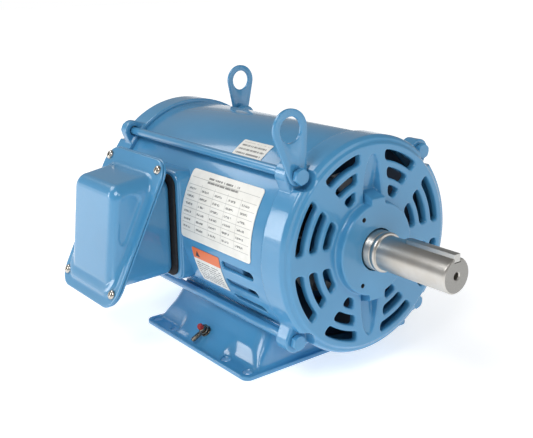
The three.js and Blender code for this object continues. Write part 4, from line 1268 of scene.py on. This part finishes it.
def build_shaft():
    low, high = span("shaft")
    key_low = span("shaft_key")[0]
    core_low, core_high = span("rotor_core")
    front_low, front_high = span("drive_bearing_inner_race")
    rear_high = span("rear_bearing_inner_race")[1]
    end = high.x
    groove = 172.4
    profile = [
        (0, low.x), (16.3, low.x), (17.2, low.x + 1), (17.2, rear_high.x + 0.3), (20.4, rear_high.x + 0.3),
        (21, rear_high.x + 0.9), (21, core_low.x - 8), (23.4, core_low.x - 8), (24, core_low.x - 7.4),
        (24, core_high.x + 7.4), (23.4, core_high.x + 8), (22.5, core_high.x + 8), (22.5, front_low.x - 0.3),
        (19.7, front_low.x - 0.3), (19.7, front_high.x + 1.3), (COLLAR_R, front_high.x + 1.3),
        (COLLAR_R, groove - 1.0), (COLLAR_R - 0.25, groove - 0.6), (COLLAR_R - 0.75, groove - 0.35),
        (COLLAR_R - 0.75, groove + 0.35), (COLLAR_R - 0.25, groove + 0.6), (COLLAR_R, groove + 1.0),
        (COLLAR_R, SHOULDER_X - 1.8), (COLLAR_R - 0.25, SHOULDER_X - 0.9), (COLLAR_R - 0.9, SHOULDER_X - 0.2),
        (COLLAR_R - 1.5, SHOULDER_X), (SHAFT_R + 0.7, SHOULDER_X), (SHAFT_R + 0.2, SHOULDER_X + 0.25),
        (SHAFT_R, SHOULDER_X + 0.8), (SHAFT_R, end - 1.6), (SHAFT_R - 0.12, end - 1.35),
        (SHAFT_R - 1.4, end - 0.1), (SHAFT_R - 1.6, end), (4.5, end), (4.3, end - 0.1), (3.5, end - 1.2),
        (3.5, end - 14), (0, end - 16.5),
    ]
    shaft = lathe("turned_shaft", profile, segments=160)
    half = KEY / 2 + 0.15
    floor = AXIS_Z + SHAFT_R - KEY / 2 - 0.5
    outline = [(end + 5, -half), (end + 5, half)] + arc((key_low.x - 0.3 + half, 0), half, 90, 270, 10)
    seat = loft("keyseat", [[(x, y, z) for x, y in outline] for z in (floor, floor + 30)])
    boolean(shaft, seat)
    finish(smooth_shaded(shaft, 35), [TURNED, SHADED_END_STEEL], ROTOR, "machined_steel", "shaft")
    # The shaft's end face gets the darker steel, painted shade.
    for face in shaft.data.polygons:
        face.material_index = 1 if face.center.x > (end - 0.2) * MM else 0


def build_key():
    low, high = span("shaft_key")
    top = high.z
    rings = []
    for z, inset in ((low.z, 0.35), (low.z + 0.35, 0), (top - 0.5, 0), (top - 0.15, 0.12), (top, 0.45)):
        r = KEY / 2 - inset
        outline = [(high.x - inset, -r), (high.x - inset, r)]
        outline += arc((low.x + KEY / 2, 0), r, 90, 270, 16)
        rings.append([(x, y, z) for x, y in outline])
    key = loft("key", rings)
    finish(smooth_shaded(key, 30), GROUND, ROTOR, "key_steel", "shaft_key")


ENDS = (("drive", 1), ("rear", -1))  # the motor's two ends and their directions along X
FAN_BLADES = 9


def inner_and_outer(node, direction):
    """Where a CAD node starts and stops along X, going outwards from the motor's middle."""
    low, high = span(node)
    return (low.x, high.x) if direction > 0 else (high.x, low.x)


def fan_blade(turn, face, tip, direction):
    """One blade on an end ring, tapering to its tip."""
    rings = []
    for x, thick, lift in ((face - direction * 2, 1.7, 0), (tip - direction * 1, 1.5, 0), (tip, 0.9, 0.8)):
        low, high = 48 + lift, 61 - lift
        corners = [(-thick, low), (thick, low), (thick, high), (-thick, high)]
        ring = []
        for y, z in rounded(corners, 0.8, steps=3):
            ring.append(turn @ Vector((x, y, z)) + Vector((0, 0, AXIS_Z)))
        rings.append(ring)
    return loft("blade", rings)


def build_rotor():
    core_low, core_high = span("rotor_core")
    radius = (core_high.y - core_low.y) / 2
    core = tube("rotor_stack", 24.3, radius, core_low.x, core_high.x, 0.4, 2, 160)
    finish(smooth_shaded(core, 35), ROTOR_CORE, ROTOR, "rotor_steel", "rotor_core")
    for end, direction in ENDS:
        node = f"rotor_end_ring_{end}"
        start, tip = inner_and_outer(node, direction)
        face = start + direction * 12
        ring = tube("end_ring", 44, radius - 1.5, start, face, [0.4, 0.4, 2, 2], 4, 120)
        turns = [Matrix.Rotation(i * 2 * math.pi / FAN_BLADES, 3, "X") for i in range(FAN_BLADES)]
        blades = [fan_blade(turn, face, tip, direction) for turn in turns]
        fan = joined(f"fan_ring_{end}", [ring] + blades)
        finish(smooth_shaded(fan, 35), ALUMINIUM, ROTOR, "rotor_aluminium", node)


# ---------------------------------------------------------------------------------------------
# Stator, bearings and air deflectors
# ---------------------------------------------------------------------------------------------


def build_stator():
    low, high = span("stator_core")
    outer = (high.y - low.y) / 2
    core = tube("stator_stack", 66, outer, low.x, high.x, 0.5, 2, 180)
    finish(smooth_shaded(core, 35), CORE, STATOR, "core_steel", "stator_core")
    for end, direction in ENDS:
        node = f"stator_end_turns_{end}"
        coils = coil_ring(f"coil_ends_{end}", *inner_and_outer(node, direction))
        finish(smooth_shaded(coils), SHADED_COILS, STATOR, "winding", node)


def coil_ring(name, start, tip):
    """Crown of coil ends: a rounded ring whose back bulges once for each coil."""
    segments, around, coils = 288, 28, 36
    rings = []
    for i in range(segments):
        angle = 2 * math.pi * i / segments
        bulge = 0.5 + 0.5 * math.cos(coils * angle)
        ring = []
        for k in range(around):
            q = 2 * math.pi * k / around
            across = math.copysign(abs(math.sin(q)) ** 0.6, math.sin(q))
            along = math.copysign(abs(math.cos(q)) ** 0.7, math.cos(q))
            swell = 1 - 0.10 * (1 - bulge) * (1 + along) / 2
            r = 86.5 + 14.2 * across * swell
            x = start + (tip - start) * (0.5 + 0.5 * along * swell)
            ring.append((x, r * math.cos(angle), AXIS_Z + r * math.sin(angle)))
        rings.append(ring)
    points = [p for ring in rings for p in ring]
    faces = []
    for i in range(segments):
        j = (i + 1) % segments
        for k in range(around):
            m = (k + 1) % around
            faces.append((i * around + k, i * around + m, j * around + m, j * around + k))
    return mesh_piece(name, points, faces)


BALLS = 8
BEARINGS = {  # bore radius and outer radius
    "drive_bearing": (20.0, 40.0),
    "rear_bearing": (17.5, 36.0),
}


def race_profile(edge, near, sign, low, high, ball):
    """Section of a race: near is the radius of its shoulders, between which the ball track is hollowed."""
    middle = (low + high) / 2
    profile = [(edge, low), (near, low)]
    for degrees in range(-80, 81, 20):
        t = math.radians(degrees)
        profile.append((near - sign * 1.2 * math.cos(t), middle + ball * 0.8 * math.sin(t)))
    return profile + [(near, high), (edge, high)]


def build_bearings():
    for name, (bore, outer) in BEARINGS.items():
        low, high = span(f"{name}_inner_race")
        middle = (low.x + high.x) / 2
        pitch = (bore + outer) / 2
        ball = (outer - bore) * 0.29 * 0.72
        shoulder = (outer - bore) * 0.29 * 0.75
        races = (("inner", bore, pitch - shoulder, 1, ROTOR), ("outer", outer, pitch + shoulder, -1, STATOR))
        for race, edge, near, sign, body in races:
            profile = race_profile(edge, near, sign, low.x, high.x, ball)
            ring = lathe(f"{name}_{race}_ring", profile, segments=96)
            finish(smooth_shaded(ring, 35), BEARING, body, "bearing_steel", f"{name}_{race}_race")
        pieces = [tube("cage", pitch - 1.2, pitch + 1.2, middle - 3.2, middle + 3.2, 0.5, 3, 96)]
        turns = [math.radians(degrees) for degrees in range(0, 181, 12)]
        sphere = [(ball * math.sin(t), middle - ball * math.cos(t)) for t in turns]
        for i in range(BALLS):
            angle = 2 * math.pi * i / BALLS
            place = (pitch * math.cos(angle), AXIS_Z + pitch * math.sin(angle))
            pieces.append(lathe("ball", sphere, place, 28))
        cage = joined(f"{name}_cage", pieces)
        finish(smooth_shaded(cage, 40), BEARING, STATOR, "bearing_steel", f"{name}_balls_and_cage")


def build_sheet_rings():
    """Bearing cap and the two air deflectors."""
    low, high = span("drive_bearing_cap")
    section = [(24, high.x), (46, high.x), (46, high.x - 5), (34, low.x), (24, low.x)]
    cap = lathe("bearing_cap", rounded(section, 0.8, steps=3), segments=96)
    finish(smooth_shaded(cap, 35), RAW_IRON, STATOR, "cap_iron", "drive_bearing_cap")
    for end, direction in ENDS:
        node = f"air_deflector_{end}"
        lip, flange = inner_and_outer(node, direction)
        sheet = direction * 1.4
        section = [
            (102, flange - sheet), (94, flange - sheet), (70, lip), (70, lip + sheet), (93.5, flange),
            (102, flange),
        ]
        profile = rounded(section, [0.3, 4, 0.4, 0.4, 4, 0.3], steps=5)
        cone = lathe(f"deflector_{end}", profile, segments=144)
        # The deflector's dark navy is painted shade.
        finish(smooth_shaded(cone, 35), SHADED_DEFLECTOR, STATOR, "deflector_sheet", node)


# ---------------------------------------------------------------------------------------------
# Labels and the earthing point
# ---------------------------------------------------------------------------------------------

LABEL_GAP = 0.3  # room between the shell and a label
LABELS = {  # ends along the shaft, angles above the level of the shaft, thickness and corner radius
    "nameplate": (-0.9 * INCH, 4.0 * INCH, -4, 35.3, 0.6, 4.0),
    "caution_label": (-0.23 * INCH, 1.74 * INCH, -31, -8.5, 0.3, 1.5),
    "connection_label": (0.79 * INCH, 2.7 * INCH, 48.7, 60.8, 0.3, 1.5),
}


def wrapped_sheet(name, x0, x1, low_degrees, high_degrees, thickness, corner):
    """A label bent round the shell."""
    r = SHELL_R + LABEL_GAP
    height = math.radians(high_degrees - low_degrees) * r
    rounding = [corner * (1 - math.cos(math.radians(t))) for t in range(10, 91, 10)]
    middle = [corner + (height - 2 * corner) * i / 41 for i in range(1, 41)]
    levels = [0.0] + rounding + middle + [height - v for v in reversed(rounding)] + [height]
    rings = []
    for v in levels:
        from_end = min(v, height - v, corner)
        pulled = corner - math.sqrt(max(0.0, corner ** 2 - (corner - from_end) ** 2))
        angle = math.radians(low_degrees) + v / r
        start, end, outer = x0 + pulled, x1 - pulled, r + thickness
        ring = []
        for x, radius in ((start, r), (end, r), (end, outer), (start, outer)):
            ring.append((x, -radius * math.cos(angle), AXIS_Z + radius * math.sin(angle)))
        rings.append(ring)
    return loft(name, rings)


def build_labels():
    films = {"nameplate": NAMEPLATE, "caution_label": CAUTION, "connection_label": PLAIN_LABEL}
    for node, size in LABELS.items():
        sheet = wrapped_sheet(node + "_sheet", *size)
        slot = "caution_film" if node == "caution_label" else "plate_white"
        finish(smooth_shaded(sheet, 40), films[node], STATOR, slot, node)


EARTH_PLACE = Vector((0, -98.2, 16.4))
EARTH_LEAN = math.radians(46)
EARTH_OUT = Vector((0, -math.cos(EARTH_LEAN), math.sin(EARTH_LEAN)))
EARTH_DOWN = Vector((0, -math.sin(EARTH_LEAN), -math.cos(EARTH_LEAN)))


def earth_hexagon(name, across, low, high, turn):
    """Hex stood on the skirt, its outer corners domed."""
    rings = []
    corner = across / math.sqrt(3)
    doming = ((low, 0.97), (low + 0.2, 1.0), (high - 0.9, 1.0), (high - 0.35, 0.95), (high, 0.86))
    for height, scale in doming:
        ring = []
        for i in range(6):
            angle = turn + i * math.pi / 3
            offset = Vector((1, 0, 0)) * math.cos(angle) + EARTH_DOWN * math.sin(angle)
            ring.append(EARTH_PLACE + EARTH_OUT * height + offset * corner * scale)
        rings.append(ring)
    return loft(name, rings)


def earth_disc(name, radius, low, high, edge):
    """Flat round piece on the earthing stud, its outer edges rounded."""
    profile = [(0, low), (radius, low), (radius, high), (0, high)]
    return spun(name, rounded(profile, [0, edge, edge, 0]), EARTH_PLACE, EARTH_OUT)


def build_earthing():
    washer = earth_disc("washer", 6.6, 0.8, 2.2, 0.3)
    lock = earth_disc("lock_washer", 4.9, 2.3, 4.2, 0.4)
    stud = spun("stud", [(0, 2), (2.2, 2), (2.2, 9), (0, 9)], EARTH_PLACE, EARTH_OUT)
    nut = earth_hexagon("earth_nut", 8.0, 6.0, 9.2, 0.2)
    red = earth_hexagon("earth_head", 6.0, 9.2, 13.6, 0.5)
    bare = sum(len(piece.data.polygons) for piece in (washer, lock, stud, nut))
    screw = joined("earth_screw", [washer, lock, stud, nut, red])
    finish(smooth_shaded(screw, 30), [DARK_ZINC, RED], STATOR, "zinc_screw", "earthing_screw")
    for face in screw.data.polygons:
        face.material_index = 1 if face.index >= bare else 0

    palm = earth_disc("palm", 6.2, 4.6, 5.7, 0.35)
    along = (EARTH_DOWN * math.cos(0.3) + EARTH_OUT * math.sin(0.3)).normalized()
    middle = EARTH_PLACE + EARTH_OUT * 7.6 + EARTH_DOWN * 11.4
    section = [
        (0, -6), (2.4, -6), (2.7, -5.6), (2.7, 5.2), (2.6, 5.8), (2.4, 6), (1.9, 6), (1.75, 5.6),
        (1.75, -1.5), (0, -2.5),
    ]
    barrel = spun("barrel", section, middle, along)
    cast = boolean(palm, barrel, "UNION")
    boolean(cast, spun("stud_room", [(0, 0), (2.7, 0), (2.7, 5.8), (0, 5.8)], EARTH_PLACE, EARTH_OUT))
    cast.name = "earth_terminal"
    finish(smooth_shaded(cast, 30), DARK_ZINC, STATOR, "zinc_screw", "earthing_terminal")


# ---------------------------------------------------------------------------------------------
# Lights, camera and floor
# ---------------------------------------------------------------------------------------------


def add_camera():
    """Camera at the photograph's viewing angle, rolled by just under a degree."""
    azimuth, elevation, roll = (math.radians(a) for a in (52.581, 16.765, -0.851))
    target = Vector((-19.3, 0.0, 118.9)) * MM
    distance = 0.9708
    level = math.cos(elevation)
    back = Vector((math.sin(azimuth) * level, -math.cos(azimuth) * level, math.sin(elevation)))
    right = Vector((math.cos(azimuth), math.sin(azimuth), 0.0))
    up = back.cross(right)
    tilted_right = right * math.cos(roll) + up * math.sin(roll)
    tilted_up = -right * math.sin(roll) + up * math.cos(roll)
    data = bpy.data.cameras.new("camera")
    data.lens = 56.54
    data.sensor_width = 36.0
    data.shift_x = 0.0035
    data.shift_y = 0.0068
    data.clip_start = 0.01
    camera = bpy.data.objects.new("camera", data)
    turned = Matrix((tilted_right, tilted_up, back)).transposed().to_4x4()
    turned.translation = target + back * distance
    camera.matrix_world = turned
    bpy.context.scene.collection.objects.link(camera)
    bpy.context.scene.camera = camera


def softbox(name, place, aim, size, power):
    data = bpy.data.lights.new(name, "AREA")
    data.shape = "RECTANGLE"
    data.size, data.size_y = size
    data.energy = power
    lamp = bpy.data.objects.new(name, data)
    lamp.location = place
    lamp.rotation_euler = (Vector(aim) - Vector(place)).to_track_quat("-Z", "Y").to_euler()
    bpy.context.scene.collection.objects.link(lamp)


def studio_world():
    """Soft light all round, brightest at the horizon and dark overhead."""
    world = bpy.data.worlds.new("studio")
    world.use_nodes = True
    tree = world.node_tree
    place = tree.nodes.new("ShaderNodeTexCoord").outputs["Generated"]
    split = tree.nodes.new("ShaderNodeSeparateXYZ")
    tree.links.new(place, split.inputs["Vector"])
    ramp = tree.nodes.new("ShaderNodeValToRGB")
    levels = ((0.0, 1.0), (0.04, 1.0), (0.12, 0.34), (0.9, 0.2))
    while len(ramp.color_ramp.elements) < len(levels):
        ramp.color_ramp.elements.new(0.5)
    for element, (height, level) in zip(ramp.color_ramp.elements, levels):
        element.position = height
        element.color = (level, level, level, 1.0)
    tree.links.new(split.outputs["Z"], ramp.inputs["Fac"])
    tree.links.new(ramp.outputs["Color"], tree.nodes["Background"].inputs["Color"])
    return world


FLOOR_HALF = 9000


def add_studio():
    corners = [(sx * FLOOR_HALF, sy * FLOOR_HALF, 0) for sx, sy in ((-1, -1), (1, -1), (1, 1), (-1, 1))]
    floor = mesh_piece("floor", corners, [(0, 1, 2, 3)])
    floor.data.materials.append(backdrop("pale_floor"))
    bpy.context.scene.world = studio_world()
    softbox("left_low", (-1.33, -1.38, 0.50), (0.1, 0, 0.13), (0.26, 0.72), 3.6)
    softbox("left_high", (-1.4, -0.7, 1.60), (-0.05, 0, 0.15), (1.2, 0.8), 10)
    softbox("key", (0.5, -1.3, 1.6), (0, 0, 0.12), (0.8, 0.8), 14)
    softbox("right", (1.9, 0.8, 0.7), (0.1, 0, 0.12), (1.0, 1.2), 4)
    softbox("accent", (1.3, -0.7, 1.5), (0.1, 0, 0.12), (0.3, 0.3), 2)
    bpy.context.scene.view_settings.view_transform = "Standard"


build_drive_bracket()
build_rear_bracket()
build_shell()
build_base()
build_through_bolts()
build_lug("lifting_lug_front", "upper_left", math.radians(11))
build_lug("lifting_lug_rear", "upper_right", 0.0)
build_cover()
build_box_base()
build_gasket()
build_box_screws()
build_shaft()
build_key()
build_rotor()
build_stator()
build_bearings()
build_sheet_rings()
build_labels()
build_earthing()

add_camera()
add_studio()
